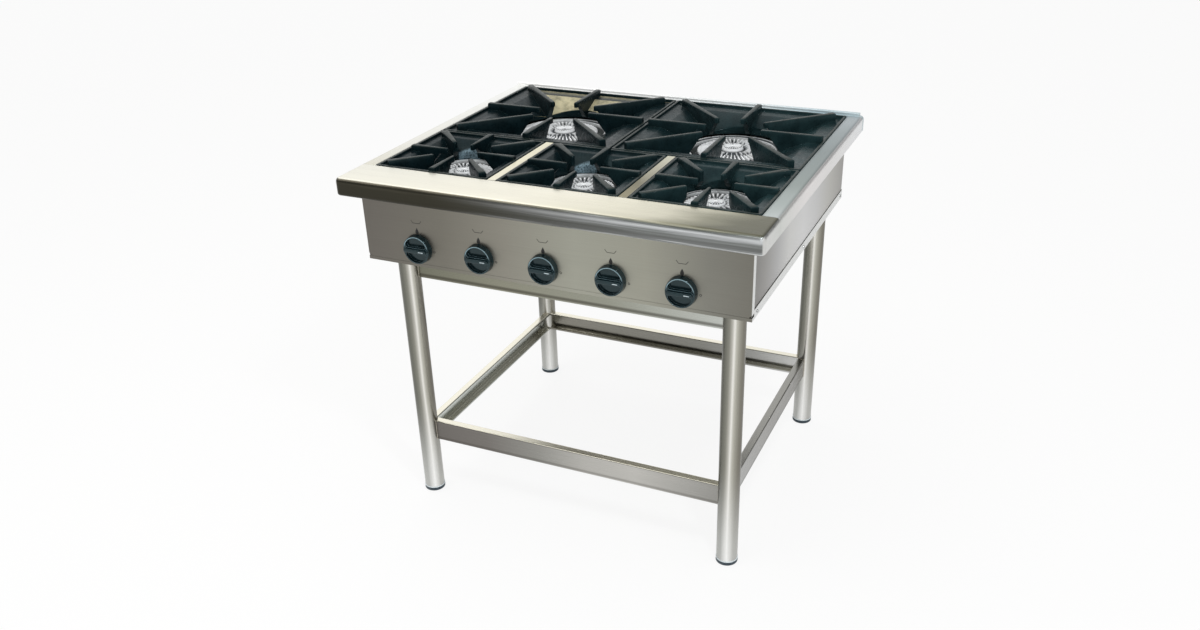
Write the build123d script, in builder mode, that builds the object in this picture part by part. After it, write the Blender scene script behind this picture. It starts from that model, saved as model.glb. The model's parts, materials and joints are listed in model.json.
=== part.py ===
from build123d import *
import os
from dataclasses import dataclass
from math import atan, degrees, hypot

os.makedirs("parts", exist_ok=True)

# Free-standing gas stove with five burners: two large ones behind, three small ones in front.
# Millimetres. +Z is up, the front faces -Y, and the origin is on the floor under the middle of the worktop.

# Worktop: folded sheet with a rounded nose, and a square cut-out that the grates fill
top_width = 1000.0
top_depth = 870.0
top_height = 890.0
top_sheet = 2.0
nose_drop = 42.0
nose_radius = 10.0
nose_corner = 12.0
nose_hem_radius = 6.0
nose_hem = 12.0
front_margin = 107.0
side_margin = 38.0
rear_margin = 15.0
rear_bead_height = 8.0
rear_bead_width = 11.0
rear_bead_radius = 3.0

# Seats of the grates round the cut-out
seat_depth = 11.0
seat_width = 12.0

# Grates: a front row of three and a rear row of two
front_row_depth = 294.0
grate_gap = 2.0
finger_rise = 12.0
grate_rim = 7.0
grate_rim_height = 12.0
grate_plate = 5.0
grate_collar_wall = 5.0
grate_collar_bottom = 844.0
grate_corner = 6.0
finger_count = 8
finger_edge = 2.5

# Divider strips and the rails under the grates' meeting edges
divider_width = 20.0
divider_flange = 12.0
divider_sheet = 2.0
support_width = 30.0
support_height = 25.0
support_sheet = 2.0

# Body: panels of thin sheet under the worktop, standing in a folded pan
body_width = 934.0
body_front = 387.0
body_back = 397.0
body_sheet = 1.5
body_bend = 2.5
body_bottom = 680.0
panel_bottom = 688.0
panel_return = 15.0
panel_corner = 7.0
pan_band = 22.0
side_flange = 12.0
back_shelf = 846.0
vent_length = 60.0
vent_width = 6.0
vent_pitch = 90.0
vent_row_gap = 24.0
vent_count = 8
vent_height = 790.0

# Stand: round tube legs with folded channel rails
leg_diameter = 50.8
leg_wall = 1.5
leg_spacing = 818.0
front_leg = 314.5
rear_leg = 374.0
foot_height = 12.0
foot_flange = 1.0
foot_plug_length = 20.0
foot_plug_wall = 2.5
foot_clearance = 0.1
foot_edge = 2.5
rail_depth = 20.0
rail_sheet = 1.5
rail_lip = 6.0
rail_bend = 3.0
rail_web_offset = 1.5
lower_rail_height = 55.0
lower_rail_bottom = 154.0
upper_rail_height = 65.0

# Burners
bowl_seat = 778.0
mixing_axis = 800.0
mouth_front = 306.0
mouth_diameter = 48.0
mouth_length = 30.0
mouth_lip = 4.0
mixing_diameter = 34.0
mixing_bore = 26.0
bowl_wall = 4.0
moat_floor = 818.0
crown_seat = 834.0
crown_spigot = 8.0
spigot_wall = 4.0
crown_clearance = 0.35
crown_plate = 4.0
crown_shoulder = 0.55
tooth_draft = 7.0
tooth_bevel = 0.25
bar_width = 30.0
bar_height = 20.0
bar_sheet = 2.0

# Gas line: a square manifold behind the panel, taps, injectors and the pipe to the rear
gas_height = 726.0
manifold_size = 25.0
manifold_wall = 2.5
manifold_front = 334.5
manifold_end = 410.0
inlet_diameter = 21.3
inlet_bore = 16.0
inlet_x = 440.0
inlet_bend = 22.0
inlet_stub = 28.0
inlet_nut_diameter = 34.0
inlet_nut_length = 8.0
inlet_clearance = 0.1
tap_diameter = 24.0
tap_length = 32.0
tap_hexagon = 22.0
tap_hexagon_length = 13.0
tap_thread = 13.0
tap_thread_length = 6.0
riser_diameter = 12.0
riser_inset = 21.5
injector_hexagon = 14.0
injector_length = 12.0
injector_nozzle = 8.0
injector_nozzle_length = 8.0
injector_draft = 14.0
injector_jet = 1.6
injector_front = 332.0

# Knobs and their spindles
knob_pitch = 160.0
knob_shift = -5.0
knob_count = 5
knob_gap = 0.5
knob_diameter = 70.0
knob_face_diameter = 66.5
knob_depth = 13.0
knob_rim = 3.0
knob_recess = 8.5
knob_ridge_width = 11.0
knob_ridge_rise = 8.0
knob_ridge_length = 60.0
knob_ridge_edge = 2.4
knob_draft = 3.0
knob_corner = 7.0
knob_edge = 1.2
pointer_length = 13.0
pointer_width = 2.2
pointer_depth = 1.0
spindle_diameter = 8.0
spindle_flat = 1.5
spindle_fit = 0.05
spindle_in_knob = 15.0
spindle_in_tap = 22.0
spindle_hole = 14.0
spindle_end_gap = 0.5

# Screws of the panels
screw_head = 8.0
screw_head_height = 2.4
screw_dome = 1.9
screw_shank = 4.0
screw_length = 7.0
screw_clearance = 0.2
side_screw_height = 690.0
side_screw_front = -350.0
side_screw_pitch = 365.0
side_screw_count = 3
back_screw_height = 700.0
back_screw_pitch = 400.0
back_screw_count = 3


@dataclass
class GrateSize:
    """What differs between a large and a small grate."""
    flat: float          # flat ledge between the rim and the dish
    dish_drop: float     # fall of the dish from the ledge to the hole, at mid-side
    hole_radius: float
    tip_radius: float    # inner end of a finger at its top
    heel_radius: float   # inner end of a finger at its foot
    heel_height: float
    tip_width: float
    root_width: float


@dataclass
class BurnerSize:
    """What differs between a large and a small burner."""
    ring_radius: float
    ring_bore: float
    ring_top: float
    chamber_radius: float
    crown_radius: float
    crown_rise: float
    hub_radius: float
    inner_row: float     # outer end of the inner fins
    outer_row: float     # inner end of the rim teeth
    teeth: int
    fins: int
    tooth_width: float
    fin_width: float


large_grate = GrateSize(flat=36.0, dish_drop=20.0, hole_radius=135.0, tip_radius=82.0, heel_radius=125.0,
                        heel_height=848.0, tip_width=12.0, root_width=14.5)
small_grate = GrateSize(flat=20.0, dish_drop=16.0, hole_radius=95.0, tip_radius=41.0, heel_radius=63.0,
                        heel_height=852.0, tip_width=8.0, root_width=12.0)
large_burner = BurnerSize(ring_radius=125.0, ring_bore=105.0, ring_top=843.0, chamber_radius=68.0,
                          crown_radius=88.0, crown_rise=20.0, hub_radius=24.0, inner_row=52.0, outer_row=57.0,
                          teeth=48, fins=24, tooth_width=7.4, fin_width=5.0)
small_burner = BurnerSize(ring_radius=89.0, ring_bore=79.0, ring_top=846.0, chamber_radius=52.0,
                          crown_radius=70.0, crown_rise=16.0, hub_radius=20.0, inner_row=41.0, outer_row=45.0,
                          teeth=38, fins=19, tooth_width=7.4, fin_width=5.0)

# Places worked out from the sizes above
half_width = top_width / 2
half_depth = top_depth / 2
cut_half = half_width - side_margin
cut_front = front_margin - half_depth
cut_rear = half_depth - rear_margin
row_split = cut_front + front_row_depth
seat_top = top_height - seat_depth
seat_bottom = seat_top - top_sheet
top_underside = top_height - top_sheet
nose_bottom = top_height - nose_drop
finger_top = top_height + finger_rise
ledge_top = seat_top + grate_plate
rim_top = seat_top + grate_rim_height

small_width = (2 * cut_half - 2 * divider_width - 6 * grate_gap) / 3
small_depth = front_row_depth - 2 * grate_gap
large_width = cut_half - 2 * grate_gap
large_depth = cut_rear - row_split - 2 * grate_gap
divider_x = small_width / 2 + grate_gap + divider_width / 2
small_x = divider_x + divider_width / 2 + grate_gap + small_width / 2
small_y = cut_front + front_row_depth / 2
large_x = cut_half / 2
large_y = (row_split + cut_rear) / 2

side_outer = body_width / 2 - body_sheet
side_inner = side_outer - body_sheet
front_inner = body_sheet - body_front
band_front = panel_return - body_front
back_outer = body_back - body_sheet
back_inner = back_outer - body_sheet
pan_top = body_bottom + body_sheet

leg_radius = leg_diameter / 2
leg_x = leg_spacing / 2
leg_places = {
    "front_left": (-leg_x, -front_leg),
    "front_right": (leg_x, -front_leg),
    "rear_left": (-leg_x, rear_leg),
    "rear_right": (leg_x, rear_leg),
}

knob_places = [knob_shift + knob_pitch * (i - (knob_count - 1) / 2) for i in range(knob_count)]
knob_back = -body_front - knob_gap
tap_rear = -manifold_front
tap_front = tap_rear - tap_length
riser_y = tap_front + riser_inset
burner_places = {
    "front_left": (small_burner, -small_x, small_y, knob_places[0]),
    "front_middle": (small_burner, 0.0, small_y, knob_places[2]),
    "front_right": (small_burner, small_x, small_y, knob_places[4]),
    "rear_left": (large_burner, -large_x, large_y, knob_places[1]),
    "rear_right": (large_burner, large_x, large_y, knob_places[3]),
}


def block(x_range, y_range, z_range, mode=Mode.ADD):
    """A straight piece of material, or of a cut, between two corners."""
    low, high = zip(x_range, y_range, z_range)
    middle = tuple((a + b) / 2 for a, b in zip(low, high))
    with Locations(middle):
        Box(*(b - a for a, b in zip(low, high)), mode=mode)


# Worktop
def nose_form(inset):
    """The rounded block that the folded worktop is bent round, drawn in by the sheet."""
    overhang = nose_corner + nose_radius
    width = top_width - 2 * inset
    depth = top_depth + overhang - inset
    with BuildPart() as form:
        with BuildSketch(Plane.XY.offset(nose_bottom + inset)):
            with Locations((0, (inset + overhang) / 2)):
                RectangleRounded(width, depth, nose_corner - inset)
        extrude(amount=nose_drop - 2 * inset)
        fillet(form.edges().group_by(Axis.Z)[-1], nose_radius - inset)
        fillet(form.edges().group_by(Axis.Z)[0], nose_hem_radius - inset)
    return form.part


def cut_out(grow, mode=Mode.ADD):
    """The outline of the cut-out for the grates, grown on every side."""
    with Locations((0, (cut_front + cut_rear) / 2)):
        Rectangle(2 * (cut_half + grow), cut_rear - cut_front + 2 * grow, mode=mode)


outer_form = nose_form(0.0)
inner_form = nose_form(top_sheet)
reach = top_depth

with BuildPart() as worktop:
    add(outer_form)
    add(inner_form, mode=Mode.SUBTRACT)
    with BuildSketch(Plane.XY.offset(nose_bottom)):
        Rectangle(top_width - 2 * nose_hem, top_depth - 2 * nose_hem)
    extrude(amount=top_sheet, mode=Mode.SUBTRACT)
    with BuildPart(mode=Mode.PRIVATE) as rear_wall:
        add(outer_form)
        block((-half_width, half_width), (half_depth - top_sheet, half_depth), (nose_bottom, top_height),
              mode=Mode.INTERSECT)
    add(rear_wall.part)
    block((-top_width, top_width), (half_depth, half_depth + reach), (0, 2 * top_height), mode=Mode.SUBTRACT)
    with BuildSketch(Plane.XY.offset(top_underside)):
        cut_out(0.0)
    extrude(amount=top_sheet, mode=Mode.SUBTRACT)
    with BuildSketch(Plane.XY.offset(seat_bottom)):
        cut_out(top_sheet)
        cut_out(0.0, mode=Mode.SUBTRACT)
    extrude(amount=top_underside - seat_bottom)
    with BuildSketch(Plane.XY.offset(seat_bottom)):
        cut_out(0.0)
        cut_out(-seat_width, mode=Mode.SUBTRACT)
    extrude(amount=top_sheet)

with BuildPart() as rear_bead:
    block((nose_radius - half_width, half_width - nose_radius), (half_depth - rear_bead_width, half_depth),
          (top_height, top_height + rear_bead_height))
    fillet(rear_bead.edges().filter_by(Axis.X).group_by(Axis.Z)[-1], rear_bead_radius)


def strip_region(seam, outward):
    """Everything on one side of a seam, with the length of seat that the strip there carries."""
    with BuildPart() as region:
        with BuildSketch():
            with Locations((0, seam + outward * reach / 2)):
                Rectangle(2 * top_width, reach)
            with Locations((0, seam)):
                Rectangle(2 * (cut_half - seat_width), 2 * seat_width)
        extrude(amount=2 * top_height)
    return region.part


front_region = strip_region(cut_front, -1)
rear_region = strip_region(cut_rear, 1)

with BuildPart() as worktop_front:
    add(worktop.part)
    add(front_region, mode=Mode.INTERSECT)
worktop_front.part.label = "worktop_front"
export_step(worktop_front.part, "parts/worktop_front.step")

with BuildPart() as worktop_rear:
    add(worktop.part)
    add(rear_region, mode=Mode.INTERSECT)
    add(rear_bead.part)
worktop_rear.part.label = "worktop_rear"
export_step(worktop_rear.part, "parts/worktop_rear.step")

for side, keep in (("left", Keep.BOTTOM), ("right", Keep.TOP)):
    with BuildPart() as worktop_side:
        add(worktop.part)
        add(front_region, mode=Mode.SUBTRACT)
        add(rear_region, mode=Mode.SUBTRACT)
        split(bisect_by=Plane.YZ, keep=keep)
    worktop_side.part.label = f"worktop_{side}"
    export_step(worktop_side.part, f"parts/worktop_{side}.step")


# Control panel: a folded tray with its open side to the rear
with BuildPart() as control_panel:
    with BuildSketch(Plane.XZ.offset(body_front)) as face:
        with Locations((0, (panel_bottom + top_underside) / 2)):
            Rectangle(body_width, top_underside - panel_bottom)
        chamfer(face.vertices().group_by(Axis.Y)[0], panel_corner)
    extrude(amount=-panel_return)
    fillet(control_panel.faces().sort_by(Axis.Y)[0].edges(), body_bend)
    block((-side_outer, side_outer), (front_inner, band_front),
          (panel_bottom + body_sheet, top_underside - body_sheet), mode=Mode.SUBTRACT)
    with BuildSketch(Plane.XZ.offset(body_front)):
        with Locations(*[(x, gas_height) for x in knob_places]):
            Circle(spindle_hole / 2)
    extrude(amount=-body_sheet, mode=Mode.SUBTRACT)
control_panel.part.label = "control_panel"
export_step(control_panel.part, "parts/control_panel.step")


# Side panels: flat sheet with a flange under the worktop and another that the back panel is screwed to
side_screw_places = [side_screw_front + side_screw_pitch * i for i in range(side_screw_count)]
back_screw_places = [back_screw_pitch * (i - (back_screw_count - 1) / 2) for i in range(back_screw_count)]

for side, sign in (("left", -1), ("right", 1)):
    with BuildPart() as side_panel:
        block(sorted((sign * side_inner, sign * side_outer)), (band_front, back_inner), (pan_top, top_underside))
        block(sorted((sign * side_inner, sign * side_outer)), (front_inner, band_front),
              (panel_bottom + body_sheet, top_underside - body_sheet))
        block(sorted((sign * side_outer, sign * (side_outer + side_flange))), (band_front, back_inner),
              (top_underside - body_sheet, top_underside))
        block(sorted((sign * (side_inner - side_flange), sign * side_inner)),
              (back_inner - body_sheet, back_inner), (pan_top, back_shelf - body_sheet))
        with BuildSketch(Plane.YZ.offset(sign * side_outer)):
            with Locations(*[(y, side_screw_height) for y in side_screw_places]):
                Circle(screw_shank / 2 + screw_clearance)
        extrude(amount=-sign * body_sheet, mode=Mode.SUBTRACT)
    side_panel.part.label = f"side_panel_{side}"
    export_step(side_panel.part, f"parts/side_panel_{side}.step")


# Back panel: joggled outwards under the rear seat of the grates, with two rows of vents
shelf_end = cut_rear - seat_width / 2 + body_sheet
vent_rows = [vent_height, vent_height - vent_row_gap]

with BuildPart() as back_panel:
    with BuildSketch(Plane.YZ.offset(-side_inner)):
        with BuildLine():
            Polyline(
                (back_inner, pan_top),
                (back_outer, pan_top),
                (back_outer, back_shelf - body_sheet),
                (shelf_end, back_shelf - body_sheet),
                (shelf_end, seat_bottom),
                (shelf_end - body_sheet, seat_bottom),
                (shelf_end - body_sheet, back_shelf),
                (back_inner, back_shelf),
                close=True,
            )
        make_face()
    extrude(amount=2 * side_inner)
    with BuildSketch(Plane.XZ.offset(-back_inner)):
        for row in vent_rows:
            with Locations((0, row)):
                with GridLocations(vent_pitch, 1, vent_count, 1):
                    SlotOverall(vent_length, vent_width)
        with Locations((-inlet_x, gas_height)):
            Circle(inlet_diameter / 2 + inlet_clearance)
        with Locations(*[(x, back_screw_height) for x in back_screw_places]):
            Circle(screw_shank / 2 + screw_clearance)
    extrude(amount=-body_sheet, mode=Mode.SUBTRACT)
back_panel.part.label = "back_panel"
export_step(back_panel.part, "parts/back_panel.step")


# Base pan: closes the body below; its upturned edges are the bright band round the bottom
with BuildPart() as base_pan:
    block((-body_width / 2, body_width / 2), (front_inner, body_back), (body_bottom, body_bottom + pan_band))
    block((-side_outer, side_outer), (front_inner + body_sheet, back_outer),
          (pan_top, body_bottom + pan_band), mode=Mode.SUBTRACT)
    block((-body_width / 2, body_width / 2), (front_inner, band_front),
          (panel_bottom, body_bottom + pan_band), mode=Mode.SUBTRACT)
    fillet(base_pan.edges().filter_by(Axis.Y).group_by(Axis.Z)[0], body_sheet / 2)
    with BuildSketch(Plane.YZ.offset(-body_width / 2)):
        with Locations(*[(y, side_screw_height) for y in side_screw_places]):
            Circle(screw_shank / 2 + screw_clearance)
    extrude(amount=body_width, mode=Mode.SUBTRACT)
    with BuildSketch(Plane.XZ.offset(-back_outer)):
        with Locations(*[(x, back_screw_height) for x in back_screw_places]):
            Circle(screw_shank / 2 + screw_clearance)
    extrude(amount=-body_sheet, mode=Mode.SUBTRACT)
base_pan.part.label = "base_pan"
export_step(base_pan.part, "parts/base_pan.step")


# Stand
for place, (x, y) in leg_places.items():
    with BuildPart() as leg:
        with BuildSketch(Plane.XY.offset(foot_height)):
            with Locations((x, y)):
                Circle(leg_radius)
                Circle(leg_radius - leg_wall, mode=Mode.SUBTRACT)
        extrude(amount=body_bottom - foot_height)
    leg.part.label = f"leg_{place}"
    export_step(leg.part, f"parts/leg_{place}.step")

    plug_radius = leg_radius - leg_wall - foot_clearance
    with BuildPart() as foot:
        with BuildSketch(Plane.XY):
            with Locations((x, y)):
                Circle(leg_radius + foot_flange)
        extrude(amount=foot_height)
        fillet(foot.edges().group_by(Axis.Z)[0], foot_edge)
        with BuildSketch(Plane.XY.offset(foot_height)):
            with Locations((x, y)):
                Circle(plug_radius)
                Circle(plug_radius - foot_plug_wall, mode=Mode.SUBTRACT)
        extrude(amount=foot_plug_length)
    foot.part.label = f"foot_{place}"
    export_step(foot.part, f"parts/foot_{place}.step")


def channel_sketch(height):
    """A lipped channel: web at x = 0, flanges and lips towards +x, standing on y = 0."""
    with Locations((rail_depth / 2, height / 2)):
        RectangleRounded(rail_depth, height, rail_bend)
        RectangleRounded(rail_depth - 2 * rail_sheet, height - 2 * rail_sheet, rail_bend - rail_sheet,
                         mode=Mode.SUBTRACT)
    with Locations((rail_depth - rail_sheet / 2, height / 2)):
        Rectangle(2 * rail_sheet, height - 2 * rail_lip, mode=Mode.SUBTRACT)


up = Vector(0, 0, 1)
side_span = (rear_leg + front_leg) / 2 - rail_depth + rail_web_offset
side_middle = (rear_leg - front_leg) / 2
rails = {
    "front": (Vector(0, -front_leg - rail_web_offset, 0), Vector(0, 1, 0), leg_x),
    "rear": (Vector(0, rear_leg + rail_web_offset, 0), Vector(0, -1, 0), leg_x),
    "left": (Vector(-leg_x - rail_web_offset, side_middle, 0), Vector(1, 0, 0), side_span),
    "right": (Vector(leg_x + rail_web_offset, side_middle, 0), Vector(-1, 0, 0), side_span),
}
rail_levels = {
    "lower": (lower_rail_bottom, lower_rail_height),
    "upper": (body_bottom - upper_rail_height, upper_rail_height),
}
for level, (bottom, height) in rail_levels.items():
    for side, (middle, inward, half_span) in rails.items():
        along = inward.cross(up)
        start = middle - along * half_span + up * bottom
        with BuildPart() as rail:
            with BuildSketch(Plane(origin=start, x_dir=inward, z_dir=along)):
                channel_sketch(height)
            extrude(amount=2 * half_span)
            with BuildSketch(Plane.XY.offset(bottom)):
                with Locations(*leg_places.values()):
                    Circle(leg_radius)
            extrude(amount=height, mode=Mode.SUBTRACT)
        rail.part.label = f"{level}_rail_{side}"
        export_step(rail.part, f"parts/{level}_rail_{side}.step")


# Rails under the grates' meeting edges: an upside-down channel, notched to pass under the seat
def support_channel(length):
    """An upside-down channel along x, centred, with its top at the seat and its ends under the seat's sheet."""
    half = length / 2
    web = support_width / 2
    block((-half, half), (-web, web), (seat_top - support_height, seat_top))
    block((-half, half), (support_sheet - web, web - support_sheet),
          (seat_top - support_height, seat_top - support_sheet), mode=Mode.SUBTRACT)


with BuildPart() as cross_rail_form:
    support_channel(2 * cut_half)
    for sign in (-1, 1):
        block(sorted((sign * (cut_half - seat_width), sign * cut_half)),
              (-support_width / 2, support_width / 2), (seat_bottom, seat_top), mode=Mode.SUBTRACT)
with BuildPart() as cross_rail:
    with Locations((0, row_split, 0)):
        add(cross_rail_form.part)
cross_rail.part.label = "cross_rail"
export_step(cross_rail.part, "parts/cross_rail.step")

divider_start = row_split + support_width / 2
divider_end = shelf_end - body_sheet
rear_divider_length = divider_end - divider_start
with BuildPart() as rear_divider_form:
    support_channel(rear_divider_length)
    block((rear_divider_length / 2 - seat_width + cut_rear - divider_end, rear_divider_length / 2),
          (-support_width / 2, support_width / 2), (seat_bottom, seat_top), mode=Mode.SUBTRACT)
with BuildPart() as rear_divider:
    with Locations(Location((0, (divider_start + divider_end) / 2, 0), (0, 0, 90))):
        add(rear_divider_form.part)
rear_divider.part.label = "rear_divider"
export_step(rear_divider.part, "parts/rear_divider.step")


# Divider strips between the front grates: a folded hat that hangs on the seat and on the cross rail
hat_front = cut_front + grate_gap
hat_rear = row_split - grate_gap
for side, x in (("left", -divider_x), ("right", divider_x)):
    half = divider_width / 2
    brim = half + divider_flange
    with BuildPart() as divider:
        with BuildSketch(Plane.XZ.offset(-hat_front)):
            with BuildLine():
                Polyline(
                    (x - brim, seat_bottom),
                    (x - half + divider_sheet, seat_bottom),
                    (x - half + divider_sheet, top_height - divider_sheet),
                    (x + half - divider_sheet, top_height - divider_sheet),
                    (x + half - divider_sheet, seat_bottom),
                    (x + brim, seat_bottom),
                    (x + brim, seat_top),
                    (x + half, seat_top),
                    (x + half, top_height),
                    (x - half, top_height),
                    (x - half, seat_top),
                    (x - brim, seat_top),
                    close=True,
                )
            make_face()
        extrude(amount=hat_front - hat_rear)
        fillet(divider.edges().filter_by(Axis.Y).group_by(Axis.Z)[-1], divider_sheet / 2)
        block((x - brim, x + brim), (hat_front, cut_front + seat_width), (seat_bottom, seat_top),
              mode=Mode.SUBTRACT)
        block((x - brim, x + brim), (row_split - support_width / 2, hat_rear), (seat_bottom, seat_top),
              mode=Mode.SUBTRACT)
    divider.part.label = f"divider_{side}"
    export_step(divider.part, f"parts/divider_{side}.step")


# Grates: a rim, a square dish that falls to a round hole, a collar round the hole, and eight fingers
def dish_pyramid(width, depth, size, drop):
    """The dish as an upside-down pyramid, from the ledge down past the hole, lowered by drop."""
    top_x = width / 2 - grate_rim - size.flat
    top_y = depth / 2 - grate_rim - size.flat
    end = size.hole_radius / 2
    slope = size.dish_drop / ((top_x + top_y) / 2 - size.hole_radius)
    fall = slope * ((top_x + top_y) / 2 - end)
    with BuildPart() as pyramid:
        with BuildSketch(Plane.XY.offset(ledge_top - drop)):
            Rectangle(2 * top_x, 2 * top_y)
        with BuildSketch(Plane.XY.offset(ledge_top - drop - fall)):
            Rectangle(2 * end, 2 * end)
        loft()
    return pyramid.part


def finger_blank(size, length):
    """One finger along +x: a web with a sloping inner edge, thinner towards its tip."""
    foot_radius = size.hole_radius + grate_collar_wall / 2
    with BuildPart() as finger:
        with BuildSketch(Plane.XZ):
            with BuildLine():
                Polyline(
                    (size.tip_radius, finger_top),
                    (length, finger_top),
                    (length, grate_collar_bottom),
                    (foot_radius, grate_collar_bottom),
                    (foot_radius, size.heel_height),
                    (size.heel_radius, size.heel_height),
                    close=True,
                )
            make_face()
        extrude(amount=size.root_width / 2, both=True)
        with BuildSketch(Plane.XY.offset(grate_collar_bottom)):
            with BuildLine():
                Polyline(
                    (0, -size.tip_width / 2),
                    (length, -size.root_width / 2),
                    (length, size.root_width / 2),
                    (0, size.tip_width / 2),
                    close=True,
                )
            make_face()
        extrude(amount=finger_top - grate_collar_bottom, mode=Mode.INTERSECT)
        fillet(finger.faces().sort_by(Axis.Z)[-1].edges(), finger_edge)
    return finger.part


def grate_form(width, depth, size):
    """A whole grate about its own middle."""
    finger = finger_blank(size, hypot(width, depth) / 2)
    upper_dish = dish_pyramid(width, depth, size, 0.0)
    lower_dish = dish_pyramid(width, depth, size, grate_plate)
    collar_radius = size.hole_radius + grate_collar_wall
    with BuildPart() as envelope:
        with BuildSketch(Plane.XY.offset(seat_top)):
            RectangleRounded(width, depth, grate_corner)
        extrude(amount=finger_top - seat_top)
        add(lower_dish)
        with BuildSketch(Plane.XY.offset(grate_collar_bottom)):
            Circle(collar_radius)
        extrude(amount=seat_top - grate_collar_bottom)
        block((-width, width), (-depth, depth), (0, grate_collar_bottom), mode=Mode.SUBTRACT)
    with BuildPart() as grate:
        with PolarLocations(0, finger_count):
            add(finger)
        add(envelope.part, mode=Mode.INTERSECT)
        with BuildPart(mode=Mode.PRIVATE) as shell:
            add(envelope.part)
            block((-width, width), (-depth, depth), (rim_top, 2 * finger_top), mode=Mode.SUBTRACT)
            block((grate_rim - width / 2, width / 2 - grate_rim), (grate_rim - depth / 2, depth / 2 - grate_rim),
                  (ledge_top, rim_top), mode=Mode.SUBTRACT)
            add(upper_dish, mode=Mode.SUBTRACT)
            Cylinder(size.hole_radius, 2 * finger_top, mode=Mode.SUBTRACT)
        add(shell.part)
    return grate.part


small_grate_form = grate_form(small_width, small_depth, small_grate)
large_grate_form = grate_form(large_width, large_depth, large_grate)
grate_places = {
    "front_left": (small_grate_form, -small_x, small_y),
    "front_middle": (small_grate_form, 0.0, small_y),
    "front_right": (small_grate_form, small_x, small_y),
    "rear_left": (large_grate_form, -large_x, large_y),
    "rear_right": (large_grate_form, large_x, large_y),
}
for place, (form, x, y) in grate_places.items():
    with BuildPart() as grate:
        with Locations((x, y, 0)):
            add(form)
    grate.part.label = f"grate_{place}"
    export_step(grate.part, f"parts/grate_{place}.step")


# Burner bodies: a deep gas chamber in a drip ring, with a mixing tube to the injector
def burner_profile(size):
    """The bowl's section: chamber, moat and ring lip."""
    chamber = size.chamber_radius
    inner = chamber - bowl_wall
    with BuildSketch() as section:
        with BuildLine():
            Polyline(
                (0, bowl_seat),
                (chamber, bowl_seat),
                (chamber, moat_floor),
                (size.ring_bore, moat_floor),
                (size.ring_bore + bowl_wall, moat_floor + bowl_wall),
                (size.ring_bore + bowl_wall, size.ring_top - bowl_wall),
                (size.ring_radius, size.ring_top - bowl_wall),
                (size.ring_radius, size.ring_top),
                (size.ring_bore, size.ring_top),
                (size.ring_bore, moat_floor + bowl_wall),
                (chamber, moat_floor + bowl_wall),
                (chamber, crown_seat),
                (inner, crown_seat),
                (inner, bowl_seat + bowl_wall),
                (0, bowl_seat + bowl_wall),
                close=True,
            )
        make_face()
    return section.sketch


def mixing_profile(length):
    """The mixing tube's outer half section along its own axis, from the bell mouth."""
    with BuildSketch() as section:
        with BuildLine():
            Polyline(
                (0, 0),
                (0, mouth_diameter / 2),
                (mouth_lip, mouth_diameter / 2),
                (mouth_length, mixing_diameter / 2),
                (length, mixing_diameter / 2),
                (length, 0),
                close=True,
            )
        make_face()
    return section.sketch


def mixing_bore_profile(length):
    """The hollow of the mixing tube, bell-mouthed like its outside."""
    bell = (mouth_diameter - mixing_diameter + mixing_bore) / 2
    with BuildSketch() as section:
        with BuildLine():
            Polyline(
                (0, 0),
                (0, bell),
                (mouth_length, mixing_bore / 2),
                (length, mixing_bore / 2),
                (length, 0),
                close=True,
            )
        make_face()
    return section.sketch


for place, (size, x, y, mouth_x) in burner_places.items():
    mouth = Vector(mouth_x, -mouth_front, mixing_axis)
    heart = Vector(x, y, mixing_axis)
    run = heart - mouth
    direction = run.normalized()
    tube_plane = Plane(origin=mouth, x_dir=direction, z_dir=direction.cross(up))
    with BuildPart() as burner_body:
        with BuildSketch(tube_plane):
            add(mixing_profile(run.length))
        revolve(axis=Axis(mouth, direction))
        with BuildSketch(Plane.XY.offset(bowl_seat + bowl_wall)):
            with Locations((x, y)):
                Circle(size.chamber_radius - bowl_wall)
        extrude(amount=crown_seat - bowl_seat, mode=Mode.SUBTRACT)
        with BuildSketch(Plane(origin=(x, y, 0), x_dir=(1, 0, 0), z_dir=(0, -1, 0))):
            add(burner_profile(size))
        revolve(axis=Axis((x, y, 0), (0, 0, 1)))
        with BuildSketch(tube_plane):
            add(mixing_bore_profile(run.length))
        revolve(axis=Axis(mouth, direction), mode=Mode.SUBTRACT)
    burner_body.part.label = f"burner_body_{place}"
    export_step(burner_body.part, f"parts/burner_body_{place}.step")


# Burner crowns: a low cap with a smooth hub, a row of radial fins and a rim of separate teeth
def wedge_sketch(inner, outer, width, count):
    """Radial wedges between two radii, as wide at the rim as given and narrower inwards."""
    inner_width = width * inner / outer
    bevel = width * tooth_bevel
    with BuildSketch() as wedge:
        with BuildLine():
            Polyline(
                (inner, -inner_width / 2),
                (outer - bevel, -width / 2),
                (outer, bevel - width / 2),
                (outer, width / 2 - bevel),
                (outer - bevel, width / 2),
                (inner, inner_width / 2),
                close=True,
            )
        make_face()
    with BuildSketch() as wedges:
        with PolarLocations(0, count):
            add(wedge.sketch)
    return wedges.sketch


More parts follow.
